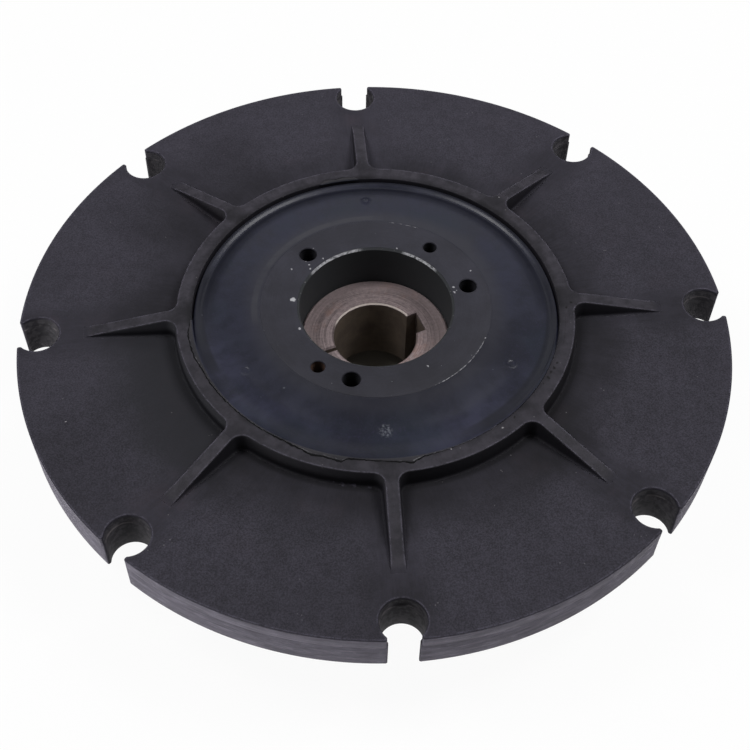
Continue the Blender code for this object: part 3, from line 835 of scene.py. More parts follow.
def satin_rubber(settings):
    """Smooth blue-black rubber with cloudy bloom, pips and a chalky smudge, and painted shade in
    its valley and crevice and over its near half.
    """
    surface = Surface("satin_rubber", 0.5, specular=0.3)
    radius, y = surface.radius, surface.y
    face = tuple(settings.face)
    cloud = surface.noise(34.0, 4.0, 0.55)
    wipe = surface.streaks(4.0, 0.6, 14.0, 130.0)
    shade = (cloud * 0.6 + wipe * 0.4).step(0.36, 0.66)
    surface.body = surface.mix(shade, tinted(face, 0.72), tinted(face, 1.24))
    streaked = surface.streaks(4.0, 0.6, 9.0, 60.0).step(0.36, 0.62)
    wiped = surface.sector(-164.0, -128.0, 9.0).most(surface.sector(-84.0, -50.0, 9.0))
    wiped = wiped * (streaked * 0.7 + 0.3) * radius.step(0.068, 0.081)
    wiped = wiped * surface.noise(55.0, 3.0, 0.6).step(0.38, 0.58)
    surface.paint(wiped * 0.80, tinted(face, 1.95, 1.85, 1.80))
    green = surface.noise(23.0, 4.0, 0.6).step(0.50, 0.66) * 0.55
    surface.paint(green, tinted(face, 0.86, 1.10, 0.98))
    purple = surface.noise(29.0, 3.0, 0.5, surface.around(2.4, 40.0)).step(0.50, 0.72) * 0.55
    surface.paint(purple, tinted(face, 1.55, 1.25, 1.50))
    beside_hub = (radius + (cloud - 0.5) * 12.0 * MM).step(0.069, 0.058)
    greyer = surface.mix(shade, (0.0215, 0.0215, 0.0320), (0.0285, 0.0285, 0.0390))
    surface.paint(beside_hub * 0.85, greyer)
    rubbed = radius.band(0.0588, 0.0606, 0.0012) * surface.sector(92.0, 180.0, 12.0)
    surface.paint(rubbed * cloud.step(0.40, 0.56) * 0.45, (0.050, 0.050, 0.058))
    # Painted shade in the far valley and crevice; grime and painted shade in the near-right groove;
    # a darker band on the near side
    trench = radius.step(0.0768, 0.0838) * radius.step(0.0866, 0.0852)
    trench = trench.most(radius.step(0.0874, 0.0884)) * y.step(-0.03, 0.02)
    groove = surface.sector(-58.0, 12.0, 10.0).most(surface.sector(163.0, 200.0, 8.0))
    groove = groove * radius.band(0.0848, 0.0888, 0.0018)
    nearest = radius.step(0.0780, 0.0840) * surface.sector(-124.0, -87.0, 8.0)
    surface.paint(trench.most(groove.most(nearest * 0.5) * 0.95) * 0.75, tinted(face, 0.35))
    # Painted shade: the inner rubber darker over the near half
    surface.paint(y.step(0.02, -0.05) * radius.step(0.080, 0.066) * 0.26, tinted(face, 0.15))
    film = surface.mix(cloud.step(0.35, 0.65), (0.019, 0.018, 0.021), (0.030, 0.028, 0.032))
    surface.paint(radius.step(0.0899, 0.0908) * 0.85, film)
    warped = surface.warped(420.0, 0.0022)
    smudge = surface.spot(warped, -90.5, 0.0748, 0.0696, 0.0042)
    smudge = smudge * surface.noise(900.0, 2.0).step(0.42, 0.66)
    smudge = smudge.most(surface.spot(warped, -134.5, 0.0665, 0.0700, 0.0008))
    dust = surface.specks(360.0, 0.13, 0.26)
    surface.paint((smudge * 0.22).most(dust * 0.30), (0.30, 0.32, 0.36))
    height = surface.noise(240.0, 3.0) * 0.30 + cloud * 1.2 + wipe * 0.25
    for degrees, strength in PIPS:
        dome = surface.spot(surface.place, degrees, 0.0735, 0.0696, 0.0034)
        dimple = surface.spot(surface.place, degrees, 0.0735, 0.0696, 0.0022)
        height = height + dome * (2.2 * strength) - dimple * (2.5 * strength)
    roughness = 0.29 + shade * 0.05 + cloud * 0.09 + smudge * 0.2
    return surface.finished(roughness, height, 0.00016, 0.8)


def coated_steel(settings, face_height):
    """Satin blue-black coat, chipped to bare metal along its edges, with painted shade over its
    near half and in its holes, and painted highlights on the mouth's chamfer and front edge.
    """
    surface = Surface("coated_steel", 0.5, specular=0.25)
    radius, y, z = surface.radius, surface.y, surface.z
    coat = tuple(settings.coat)
    cloud = surface.noise(48.0, 4.0, 0.6)
    grain = surface.noise(700.0, 3.0, 0.6)
    turning = surface.streaks(2.0, 0.5, 3.0, 2400.0)
    shade = (cloud * 0.62 + grain * 0.2 + turning * 0.18).step(0.36, 0.66)
    surface.body = surface.mix(shade, tinted(coat, 0.82), tinted(coat, 1.26))
    inside = radius.step(settings.mouth + 1.4 * MM, settings.mouth + 0.6 * MM)
    # Painted shade: the hub darker over its near half
    surface.paint(y.step(0.015, -0.045) * 0.26, tinted(coat, 0.15))
    surface.paint(inside * 0.7, tinted(coat, 1.60, 1.75, 1.30))
    warped = surface.warped(900.0, 0.0016)
    chips = surface.spot(warped, 172.0, 0.0410, face_height, 0.0016)
    for degrees, reach, size in HUB_MARKS:
        chips = chips.most(surface.spot(warped, degrees, reach, face_height, size * 0.85) * 0.7)
    broken = surface.noise(620.0, 3.0, 0.7)
    on_face = z.step(face_height - 1.3 * MM, face_height - 1.0 * MM)
    on_chamfer = radius.band(settings.mouth + 0.05 * MM, settings.mouth + 0.75 * MM, 0.3 * MM)
    # Bare metal in two arcs of the mouth's chamfer: the coat rubbed through, and a painted
    # highlight where the chamfer faces the lamps
    worn_and_glint = surface.sector(38.0, 61.0, 6.0).most(surface.sector(103.0, 138.0, 8.0))
    worn_and_glint = worn_and_glint * broken.step(0.30, 0.60)
    faint = broken.step(0.64, 0.72) * 0.6
    chips = chips.most(on_chamfer * on_face * worn_and_glint.most(faint))
    rim = settings.radius
    on_edge = radius.band(rim - 0.42 * MM, rim + 0.1 * MM, 0.12 * MM)
    # Pale scratches along the front edge, partly a painted highlight
    scratched_and_glint = surface.sector(-62.0, -30.0, 4.0) * broken.step(0.40, 0.62)
    scratched_and_glint = scratched_and_glint.most(surface.sector(64.0, 78.0) * broken.step(0.52, 0.62))
    scratched_and_glint = (scratched_and_glint * 0.40).most(broken.step(0.66, 0.72) * 0.2)
    chips = chips.most(on_edge * on_face * scratched_and_glint)
    # Painted shade inside the tapped holes
    in_hole = radius.step(settings.mouth + 1.6 * MM, settings.mouth + 2.6 * MM)
    in_hole = in_hole * z.step(face_height - 0.5 * MM, face_height - 1.4 * MM)
    in_hole = in_hole * radius.step(rim - 1.0 * MM, rim - 2.0 * MM)
    surface.paint(in_hole * 0.8, tinted(coat, 0.18))
    flat = surface.vector(surface.x, y, 0.0)
    oxide = surface.spot(flat, 230.8, settings.hole_circle, 0.0, 0.0080)
    oxide = oxide * z.step(face_height - 0.3 * MM, face_height - 1.5 * MM)
    surface.paint(oxide, (0.060, 0.034, 0.025))
    surface.paint(surface.specks(420.0, 0.12, 0.26) * 0.35, (0.35, 0.35, 0.37))
    surface.paint(chips, tuple(settings.bare))
    surface.set("Metallic", chips * 0.55)
    roughness = 0.42 + cloud * 0.08 + grain * 0.08 - chips * 0.12 + inside.most(in_hole) * 0.35
    height = grain * 0.35 + cloud * 0.5 + turning * 0.25 - chips * 1.0
    return surface.finished(roughness, height, 0.00012, 0.7)


def turned_steel(settings, face_height):
    """Bare steel with turning marks, a film of rust and a brown bore, with painted light and shade
    and a painted highlight on the bore's chamfer.
    """
    surface = Surface("turned_steel", 0.5, 0.6)
    radius, x, y, z = surface.radius, surface.x, surface.y, surface.z
    steel = tuple(settings.steel)
    fine = surface.streaks(3.0, 0.7, 1.6, 5200.0, 4300.0)
    coarse = surface.streaks(2.0, 0.5, 0.8, 1300.0, 900.0)
    cloud = surface.noise(75.0, 4.0, 0.6)
    marks = fine * 0.45 + coarse * 0.25 + surface.noise(620.0, 4.0, 0.7) * 0.30
    surface.body = surface.mix(marks.step(0.36, 0.62), tinted(steel, 0.46), tinted(steel, 1.50))
    patches = surface.noise(95.0, 5.0, 0.68)
    stained = surface.sector(-75.0, -5.0, 14.0) * 0.10 + surface.sector(68.0, 92.0, 10.0) * 0.07
    rusty = (patches + stained).step(0.54, 0.72) * (0.35 + fine * 0.7)
    surface.paint(rusty * 0.75, tuple(settings.rust))
    surface.paint(cloud.step(0.5, 0.75) * 0.25, tinted(steel, 1.15))
    # Painted light and shade: the bush darker on its left and far side, lighter on its right and
    # towards its outer edge
    surface.paint(x.step(0.020, -0.020) * 0.10, tinted(steel, 0.45))
    surface.paint(y.step(0.010, 0.032) * 0.11, tinted(steel, 0.45))
    surface.paint(x.step(0.010, 0.030) * 0.13, tinted(steel, 2.20))
    surface.paint(radius.step(0.0280, 0.0350) * 0.34, tinted(steel, 1.95))
    deep = z.step(face_height - 0.7 * MM, face_height - 2.5 * MM)
    in_bore = radius.step(settings.bore + 5.2 * MM, settings.bore + 4.8 * MM) * deep
    oxide = surface.mix(cloud.step(0.3, 0.7), (0.092, 0.071, 0.054), (0.184, 0.142, 0.106))
    # Painted shade: the bore darker towards its bottom
    oxide = surface.mix(z.step(0.042, 0.012) * 0.32, oxide, (0.030, 0.026, 0.021))
    surface.paint(in_bore * 0.92, oxide)
    # Painted highlight on the far half of the bore's chamfer
    chamfer = radius.band(settings.bore - 0.05 * MM, settings.bore + 0.60 * MM, 0.15 * MM)
    chamfer = chamfer * surface.sector(30.0, 150.0, 12.0)
    chamfer = chamfer * z.step(face_height - 0.9 * MM, face_height - 0.7 * MM)
    surface.paint(chamfer * 0.8, (0.68, 0.60, 0.55))
    metallic = 0.60 - rusty * 0.30 - in_bore * 0.60 - chamfer * 0.3
    surface.set("Metallic", metallic.most(0.0))
    roughness = 0.45 + rusty * 0.20 + fine * 0.10 + in_bore * 0.08
    height = fine * 1.0 + coarse * 1.0 + patches * 0.25
    return surface.finished(roughness, height, 0.00010, 0.9)


def plated_steel(name, tint, roughness):
    """Plated or oiled steel with small stains."""
    surface = Surface(name, roughness, 1.0)
    cloud = surface.noise(160.0, 4.0, 0.6)
    grain = surface.noise(1400.0, 2.0, 0.5)
    surface.body = surface.mix(cloud.step(0.35, 0.7), tinted(tint, 0.78), tinted(tint, 1.15))
    stain_and_shade = surface.noise(420.0, 3.0, 0.6).step(0.60, 0.74) * 0.5
    surface.paint(stain_and_shade, tinted(tint, 0.55, 0.47, 0.38))
    height = grain * 0.6 + cloud * 0.5
    return surface.finished(roughness - 0.06 + cloud * 0.10 + stain_and_shade * 0.3, height, 0.00005, 0.7)


def crack_shadow():
    """A near-black strip painted as the shadow in an open crack."""
    surface = Surface("crack_shadow", 0.8, specular=0.1)
    depth = surface.noise(900.0, 2.0)
    surface.body = surface.mix(depth, (0.002, 0.002, 0.002), (0.008, 0.008, 0.009))
    return surface.finished(0.75 + depth * 0.2)


def geometry_tree(name, inputs):
    """A new geometry tree with its group nodes and the identifiers of its inputs."""
    tree = bpy.data.node_groups.new(name, "GeometryNodeTree")
    tree.interface.new_socket("Geometry", in_out="INPUT", socket_type="NodeSocketGeometry")
    identifiers = {}
    for label, kind in inputs:
        socket = tree.interface.new_socket(label, in_out="INPUT", socket_type=kind)
        identifiers[label] = socket.identifier
    tree.interface.new_socket("Geometry", in_out="OUTPUT", socket_type="NodeSocketGeometry")
    return tree, tree.nodes.new("NodeGroupInput").outputs, identifiers


def finish_tree(tree, given, geometry):
    """End a tree: merge what meets, make instances real and set the material."""
    sockets = {"Geometry": geometry}
    real = add_node(tree, "GeometryNodeRealizeInstances", None, sockets).outputs[0]
    sockets = {"Geometry": real, "Distance": given["Merge Distance"]}
    merged = add_node(tree, "GeometryNodeMergeByDistance", None, sockets).outputs[0]
    sockets = {"Geometry": merged, "Material": given["Material"]}
    dressed = add_node(tree, "GeometryNodeSetMaterial", None, sockets).outputs[0]
    add_node(tree, "NodeGroupOutput", None, {0: dressed})


def repeat_tree():
    """Repeat the input evenly around the shaft axis."""
    inputs = (
        ("Count", "NodeSocketInt"),
        ("Merge Distance", "NodeSocketFloat"),
        ("Material", "NodeSocketMaterial"),
    )
    tree, given, identifiers = geometry_tree("Repeat round the axis", inputs)
    points = add_node(tree, "GeometryNodePoints", None, {"Count": given["Count"]})
    index = Number(tree, add_node(tree, "GeometryNodeInputIndex").outputs[0])
    turn = index * math.tau / Number(tree, given["Count"])
    euler = add_node(tree, "ShaderNodeCombineXYZ", None, {2: turn})
    rotation = add_node(tree, "FunctionNodeEulerToRotation", None, {0: euler.outputs[0]})
    sockets = {
        "Points": points.outputs[0],
        "Instance": given["Geometry"],
        "Rotation": rotation.outputs[0],
    }
    copies = add_node(tree, "GeometryNodeInstanceOnPoints", None, sockets)
    finish_tree(tree, given, copies.outputs[0])
    return tree, identifiers


def lathe_tree():
    """Turn the input's points, a closed section in X and Z, around the shaft axis."""
    inputs = (
        ("Steps", "NodeSocketInt"),
        ("Merge Distance", "NodeSocketFloat"),
        ("Material", "NodeSocketMaterial"),
    )
    tree, given, identifiers = geometry_tree("Turn on a lathe", inputs)
    size = add_node(tree, "GeometryNodeAttributeDomainSize", None, {"Geometry": given["Geometry"]})
    points = Number(tree, size.outputs["Point Count"])
    rows = Number(tree, given["Steps"]) + 1
    sockets = {"Size X": 1.0, "Size Y": 1.0, "Vertices X": points, "Vertices Y": rows}
    grid = add_node(tree, "GeometryNodeMeshGrid", None, sockets)
    position = add_node(tree, "GeometryNodeInputPosition").outputs[0]
    parts = add_node(tree, "ShaderNodeSeparateXYZ", None, {0: position}).outputs
    across = (Number(tree, parts[0]) + 0.5) * (points - 1)
    turn = (Number(tree, parts[1]) + 0.5) * math.tau
    nearest = across.maths("ROUND", across)
    sockets = {"Geometry": given["Geometry"], "Value": position, "Index": nearest}
    sample = add_node(tree, "GeometryNodeSampleIndex", {"data_type": "FLOAT_VECTOR"}, sockets)
    corner = add_node(tree, "ShaderNodeSeparateXYZ", None, {0: sample.outputs[0]}).outputs
    radius = Number(tree, corner[0])
    x = radius * turn.maths("COSINE", turn)
    y = radius * turn.maths("SINE", turn)
    place_at = add_node(tree, "ShaderNodeCombineXYZ", None, {0: x, 1: y, 2: corner[2]})
    sockets = {"Geometry": grid.outputs["Mesh"], "Position": place_at.outputs[0]}
    moved = add_node(tree, "GeometryNodeSetPosition", None, sockets)
    finish_tree(tree, given, moved.outputs[0])
    return tree, identifiers


def through_tree(name, mesh, made, values):
    """Run a mesh through a geometry tree and return the result as a plain mesh."""
    tree, identifiers = made
    guide = in_scene(name + "_guide", mesh)
    modifier = guide.modifiers.new("Tree", "NODES")
    modifier.node_group = tree
    for label, value in values.items():
        modifier[identifiers[label]] = value
    graph = bpy.context.evaluated_depsgraph_get()
    graph.update()
    plain = bpy.data.meshes.new_from_object(guide.evaluated_get(graph), depsgraph=graph)
    guide.modifiers.remove(modifier)
    bpy.data.objects.remove(guide)
    bpy.data.node_groups.remove(tree)
    plain.name = name
    shape = bmesh.new()
    shape.from_mesh(plain)
    bmesh.ops.recalc_face_normals(shape, faces=shape.faces)
    shape.to_mesh(plain)
    shape.free()
    return plain


# Flange


def raised_path(sizes, outer, half_turn):
    """Plan of a rib's side, its fillet and the ring's outer side, with the height of each point."""
    half = sizes.rib_width / 2
    side = half + sizes.rib_fillet
    start = outer + sizes.rib_fillet
    tip = start + sizes.rib_slope
    centre_x = math.sqrt(start**2 - side**2)
    path = [(tip + (start - tip) * i / RIB_STEPS, half) for i in range(RIB_STEPS + 1)]
    heights = [sizes.ring_height * i / RIB_STEPS for i in range(RIB_STEPS + 1)]
    towards_ring = math.pi + math.atan2(side, centre_x)
    bend = arc((centre_x, side), sizes.rib_fillet, 1.5 * math.pi, towards_ring, FILLET_STEPS)
    reached = math.atan2(bend[-1][1], bend[-1][0])
    path += bend + arc(ORIGIN, outer, reached, half_turn, RING_STEPS)[1:]
    heights += [sizes.ring_height] * (len(path) - len(heights))
    return path, heights, RIB_STEPS + 1


def raised_section(sizes, base, height):
    """Edge, drafted wall and foot of what stands on the disc, as (offset, height)."""
    edge = min(sizes.edge_round, height / 4)
    foot = min(sizes.foot_fillet, height * 0.4)
    lean = sizes.draft * height / sizes.ring_height
    top = quarter(0.0, base + height, edge)
    turns = [math.pi / 2 * i / 4 for i in range(5)]
    reach, level = lean + foot, base + foot
    return top + [(reach - foot * math.cos(t), level - foot * math.sin(t)) for t in turns]


def rim_path(sizes, rim, half_turn):
    """Plan of half a notch and the rim beside it, with each point's share of the rim's draft."""
    radius = sizes.hole_diameter / 2
    half = sizes.mouth_width / 2
    centre = (rim - sizes.hole_to_rim, 0.0)
    opening = math.asin(half / radius)
    corner = (math.sqrt(rim**2 - half**2), half)
    hole = arc(centre, radius, math.pi, opening, NOTCH_STEPS)
    beyond = math.atan2(corner[1], corner[0]) + sizes.mouth_round * 2.2 / rim
    path = hole + [corner] + arc(ORIGIN, rim, beyond, half_turn, RIM_STEPS)
    path = round_corner(path, len(hole), sizes.mouth_round, 5)
    path = round_corner(path, len(hole) - 1, sizes.mouth_round * 0.6, 3)
    blend = half / 8
    past = [(math.hypot(*point) - corner[0] + blend) / blend for point in path]
    return path, [min(1.0, max(0.0, share)) for share in past]


def rim_section(sizes, top, bottom, share):
    """Section of the disc's edge: a ledge inside the notch, a parting line on the rim."""
    line = top - 5.0 * MM - 1.9 * MM * share
    lean = sizes.draft * share
    ledge = 0.55 * MM * (1.0 - share)
    groove = 0.20 * MM * share
    upper = quarter(0.0, top, sizes.edge_round)
    middle = [
        (-lean * 0.25, line),
        (ledge * 0.75 - lean * 0.3 - groove, line - 0.15 * MM - 0.15 * MM * share),
        (ledge - lean * 0.35, line - 0.40 * MM - 0.2 * MM * share),
    ]
    lower = lower_quarter(ledge - lean, bottom, sizes.edge_round)
    return upper + middle + lower


def flange_sector(sizes, rim):
    """One repeat of the flange: a rib with its notch, half-way to the next on both sides."""
    top = FLANGE_HIGH.z
    base = top - sizes.ring_height
    bottom = FLANGE_LOW.z
    half_turn = math.pi / sizes.notches
    outer = sizes.ring_bore + sizes.ring_wall
    shape = bmesh.new()
    edge = sizes.edge_round
    bore = [(edge - offset, height) for offset, height in quarter(edge, top, edge)]
    bore = [(sizes.ring_bore + offset, height) for offset, height in bore]
    lower = lower_quarter(edge, bottom, edge)
    below = [(sizes.ring_bore + edge - offset, height) for offset, height in lower]
    turns = [-half_turn + half_turn * i / BORE_STEPS for i in range(2 * BORE_STEPS + 1)]
    spokes = [polar(1.0, turn) for turn in turns]
    bore_rows = [add_row(shape, [(r * x, r * y, z) for x, y in spokes]) for r, z in bore + below]
    bridge(shape, bore_rows)
    path, heights, crease = raised_path(sizes, outer, half_turn)
    sections = [raised_section(sizes, base, height) for height in heights]
    rim_line, shares = rim_path(sizes, rim, half_turn)
    rim_sections = [rim_section(sizes, base, bottom, share) for share in shares]
    sector_side = polar(1.0, half_turn)
    normals = side_normals(path, (0.0, 1.0), sector_side)
    rim_normals = side_normals(rim_line, (1.0, 0.0), sector_side)
    raised = []
    rims = []
    lines = ((path, normals, sections, raised), (rim_line, rim_normals, rim_sections, rims))
    for sign in (1.0, -1.0):
        for line, sides, profile, made in lines:
            mirrored = [(x, y * sign) for x, y in line]
            turned = [Vector((n.x, n.y * sign)) for n in sides]
            made.append(swept_rows(shape, mirrored, turned, profile))
            bridge(shape, made[-1])
    left, right = raised[0][0], raised[1][0]
    for i in range(crease - 1):
        flat_face(shape, (left[i], left[i + 1], right[i + 1], right[i]))
    flat_face(shape, bore_rows[0] + left[crease - 1 :][::-1] + right[crease - 1 :])
    left, right = raised[0][-1], raised[1][-1]
    flat_face(shape, left + rims[0][0][::-1] + rims[1][0][1:] + right[::-1])
    flat_face(shape, bore_rows[-1] + rims[0][-1][::-1] + rims[1][-1][1:])
    bmesh.ops.recalc_face_normals(shape, faces=shape.faces)
    return plain_mesh(shape, "flange_sector")


class COUPLING_OT_flange(bpy.types.Operator):
    """Build the moulded flange"""

    bl_idname = "coupling.flange"
    bl_label = "Build Flange"

    def execute(self, context):
        sizes = context.scene.coupling.flange
        material = moulded_black(sizes)
        rim = math.hypot(FLANGE_HIGH.x, sizes.mouth_width / 2 + sizes.mouth_round) - 0.02 * MM
        values = {"Count": sizes.notches, "Merge Distance": MERGE_DISTANCE, "Material": material}
        mesh = through_tree("moulded_flange", flange_sector(sizes, rim), repeat_tree(), values)
        place("moulded_flange", mesh, material, ["outer_flange"])
        return {"FINISHED"}


# Rubber


def smooth_line(points, steps):
    """A smooth line through points, by a cubic between each two of them."""
    line = []
    slopes = []
    for i in range(len(points)):
        before = points[max(i - 1, 0)]
        after = points[min(i + 1, len(points) - 1)]
        slopes.append((after[1] - before[1]) / (after[0] - before[0]))
    for i in range(len(points) - 1):
        (x0, y0), (x1, y1) = points[i], points[i + 1]
        width = x1 - x0
        for j in range(steps):
            t = j / steps
            line.append(
                (
                    x0 + width * t,
                    y0 * (1 - t) ** 2 * (1 + 2 * t)
                    + slopes[i] * width * t * (1 - t) ** 2
                    + y1 * t * t * (3 - 2 * t)
                    + slopes[i + 1] * width * t * t * (t - 1),
                )
            )
    return line + [points[-1]]


def rubber_section(sizes, hub_radius, ring_bore):
    """Closed section of the rubber: shoulder, valley and bead in front, then the hollow back."""
    top = FLANGE_HIGH.z
    face = HUB_HIGH.z - sizes.step_below_hub
    back = FLANGE_LOW.z
    bond = 0.05 * MM
    inner = hub_radius - bond
    outer = ring_bore + bond
    width = outer - inner
    valley = ring_bore - sizes.valley
    bead = ring_bore - sizes.bead
    front = [
        (inner, face + 1.05 * MM),
        (inner + 0.8 * MM, face + 1.05 * MM),
        (inner + 3.0 * MM, face + 0.85 * MM),
        (inner + 9.0 * MM, face + 0.20 * MM),
        (inner + 15.0 * MM, face - 0.45 * MM),
        (ring_bore - sizes.shoulder, top - 0.75 * MM),
        (valley - 3.4 * MM, top - sizes.valley_depth * 0.62),
        (valley - 1.5 * MM, top - sizes.valley_depth * 0.87),
        (valley, top - sizes.valley_depth),
        (bead - 1.1 * MM, top - sizes.bead_depth - 0.35 * MM),
        (bead, top - sizes.bead_depth),
        (bead + 0.6 * MM, top - sizes.bead_depth - 0.2 * MM),
        (outer - 0.4 * MM, top - sizes.crevice_depth + 1.0 * MM),
        (outer, top - sizes.crevice_depth),
    ]
    roof = back + sizes.back_hollow
    lip = back - sizes.back_lip
    rear = [
        (inner, lip),
        (inner + 0.09 * width, lip),
        (inner + 0.14 * width, lip + 0.5 * MM),
        (inner + 0.32 * width, roof - 0.8 * MM),
        (inner + 0.38 * width, roof),
        (outer - 0.32 * width, roof),
        (outer - 0.26 * width, roof - 0.7 * MM),
        (outer - 0.12 * width, back + 0.5 * MM),
        (outer - 0.08 * width, back + 0.1 * MM),
        (outer, back + 0.1 * MM),
    ]
    return smooth_line(front, 6) + rear[::-1] + [front[0]]


def between(marks, value):
    """Read a height between marks (place, height) along a line."""
    for (low, start), (high, end) in zip(marks, marks[1:]):
        if value <= high:
            return start + (end - start) * max(0.0, value - low) / (high - low)
    return marks[-1][1]


# How far flash fills the valley and the crevice, at angles in degrees
VALLEY_FILL = (
    (-180.0, 0.5),
    (-164.0, 0.95),
    (-60.0, 1.0),
    (-44.0, 0.85),
    (-20.0, 0.6),
    (10.0, 0.25),
    (36.0, 0.0),
    (150.0, 0.0),
    (180.0, 0.5),
)
CREVICE_FILL = (
    (-180.0, 0.4),
    (-174.0, 0.6),
    (-160.0, 1.0),
    (-32.0, 1.0),
    (-16.0, 0.7),
    (0.0, 0.3),
    (14.0, 0.0),
    (164.0, 0.0),
    (180.0, 0.4),
)


def eased(value):
    """A smooth rise from 0 to 1."""
    value = min(1.0, max(0.0, value))
    return value * value * (3.0 - 2.0 * value)


def fill_valley(mesh, sizes, ring_bore):
    """Raise the rubber's front to the flash where that fills the valley."""
    top = FLANGE_HIGH.z
    start = ring_bore - sizes.shoulder - 7.0 * MM
    for vertex in mesh.vertices:
        x, y, z = vertex.co
        radius = math.hypot(x, y)
        if radius > start and z > top - sizes.crevice_depth - 0.01 * MM:
            degrees = math.degrees(math.atan2(y, x))
            inwards = ring_bore - radius
            beside = eased(1.0 - (inwards - 0.8 * MM) / (1.2 * MM))
            share = eased(between(VALLEY_FILL, degrees)) * (1.0 - beside)
            share += eased(between(CREVICE_FILL, degrees)) * beside
            share *= eased((radius - start) / (9.0 * MM))
            filled = top - (0.60 - 0.62 * eased(1.0 - inwards / (9.5 * MM))) * MM
            vertex.co.z = z + (filled - z) * share


# The torn edge's radius, the crack's width, and a raised flap's edge and the width of its crack,
# in millimetres at degrees
CRACK = (
    (-178.0, 91.0),
    (-172.0, 92.6),
    (-163.0, 92.4),
    (-158.0, 91.4),
    (-150.0, 91.3),
    (-143.0, 91.0),
    (-130.0, 91.0),
    (-122.0, 90.7),
    (-116.0, 91.6),
    (-112.5, 92.8),
    (-109.0, 92.1),
    (-103.5, 93.1),
    (-102.0, 90.9),
    (-96.0, 91.0),
    (-88.0, 92.0),
    (-83.5, 93.4),
    (-80.5, 91.2),
    (-72.0, 90.9),
    (-62.0, 90.6),
    (-56.0, 90.4),
)
CRACK_WIDTH = (
    (-178.0, 0.5),
    (-150.0, 0.6),
    (-140.0, 0.4),
    (-128.0, 0.5),
    (-119.0, 1.0),
    (-101.0, 0.9),
    (-92.0, 0.5),
    (-84.0, 1.0),
    (-79.0, 0.5),
    (-74.0, 0.1),
    (-56.0, 0.0),
)
FLAP = ((92.0, 90.4), (93.0, 91.6), (97.0, 92.2), (99.5, 91.4), (103.0, 92.4), (105.0, 90.4))
FLAP_WIDTH = ((0.0, 0.3), (180.0, 0.3))
CRACK_STEPS = 480
FLAP_STEPS = 60


def torn_skin(shape, sizes, ring_bore, edge_marks, steps, crack):
    """Flash over the ring's inner edge as far as its torn edge, with a near-black strip beside it
    painted as the crack's shadow.
    """
    top = FLANGE_HIGH.z
    skin_rows = [[] for _ in range(6)]
    crack_rows = [[], []]
    first, last = edge_marks[0][0], edge_marks[-1][0]
    for i in range(steps + 1):
        degrees = first + (last - first) * i / steps
        rag = noise.noise((degrees * 1.3, 0.0, 3.7)) * 0.28
        rag += noise.noise((degrees * 4.1, 5.0, 0.0)) * 0.14
        edge = max((between(edge_marks, degrees) + rag) * MM, ring_bore + 0.25 * MM)
        ends = min(1.0, (degrees - first) / 5.0, (last - degrees) / 5.0)
        uneven = 0.8 + 0.5 * noise.noise((degrees * 0.7, 9.0, 1.0))
        thick = sizes.skin * uneven * (0.25 + 0.75 * ends)
        gape = 0.85 + 0.80 * noise.noise((degrees * 0.55, 2.0, 7.0))
        open_width = between(crack, degrees) * gape * ends * MM
        spoke = math.radians(degrees)
        section = (
            (ring_bore - 0.45 * MM, top - 0.35 * MM),
            (ring_bore - 0.20 * MM, top - 0.02 * MM),
            (ring_bore + 0.20 * MM, top + thick * 0.5),
            ((ring_bore + edge) / 2 + 0.15 * MM, top + thick),
            (edge - 0.08 * MM, top + thick * 0.7),
            (edge, top - 0.1 * MM),
        )
        for row, (radius, height) in zip(skin_rows, section):
            row.append(beside(ORIGIN, radius, spoke, height))
        for row, radius in zip(crack_rows, (edge - 0.1 * MM, edge + max(0.0, open_width))):
            row.append(beside(ORIGIN, radius, spoke, top + 0.03 * MM))
    for rows, index in ((skin_rows, 0), (crack_rows, 1)):
        before = set(shape.faces)
        bridge(shape, [add_row(shape, row) for row in rows])
        for face in set(shape.faces) - before:
            face.material_index = index
            face.normal_update()
            if face.normal.z < 0.0:
                face.normal_flip()


class COUPLING_OT_rubber(bpy.types.Operator):
    """Build the rubber ring and the flash at its edge"""

    bl_idname = "coupling.rubber"
    bl_label = "Build Rubber"

    def execute(self, context):
        settings = context.scene.coupling
        sizes = settings.rubber
        ring_bore = settings.flange.ring_bore
        material = satin_rubber(sizes)
        section = rubber_section(sizes, settings.hub.radius, ring_bore)
        line = bpy.data.meshes.new("rubber_section")
        line.from_pydata([(radius, 0.0, height) for radius, height in section], [], [])
        values = {"Steps": RUBBER_STEPS, "Merge Distance": MERGE_DISTANCE, "Material": material}
        mesh = through_tree("rubber_ring", line, lathe_tree(), values)
        fill_valley(mesh, sizes, ring_bore)
        mesh.shade_smooth()
        crisp(mesh, 50.0)
        place("rubber_body", mesh, material, ["rubber_ring"])
        shape = bmesh.new()
        torn_skin(shape, sizes, ring_bore, CRACK, CRACK_STEPS, CRACK_WIDTH)
        torn_skin(shape, sizes, ring_bore, FLAP, FLAP_STEPS, FLAP_WIDTH)
        skin = plain_mesh(shape, "torn_skin")
        skin.materials.append(material)
        skin.materials.append(crack_shadow())
        place("rubber_flash", skin, None)
        return {"FINISHED"}


# Hub


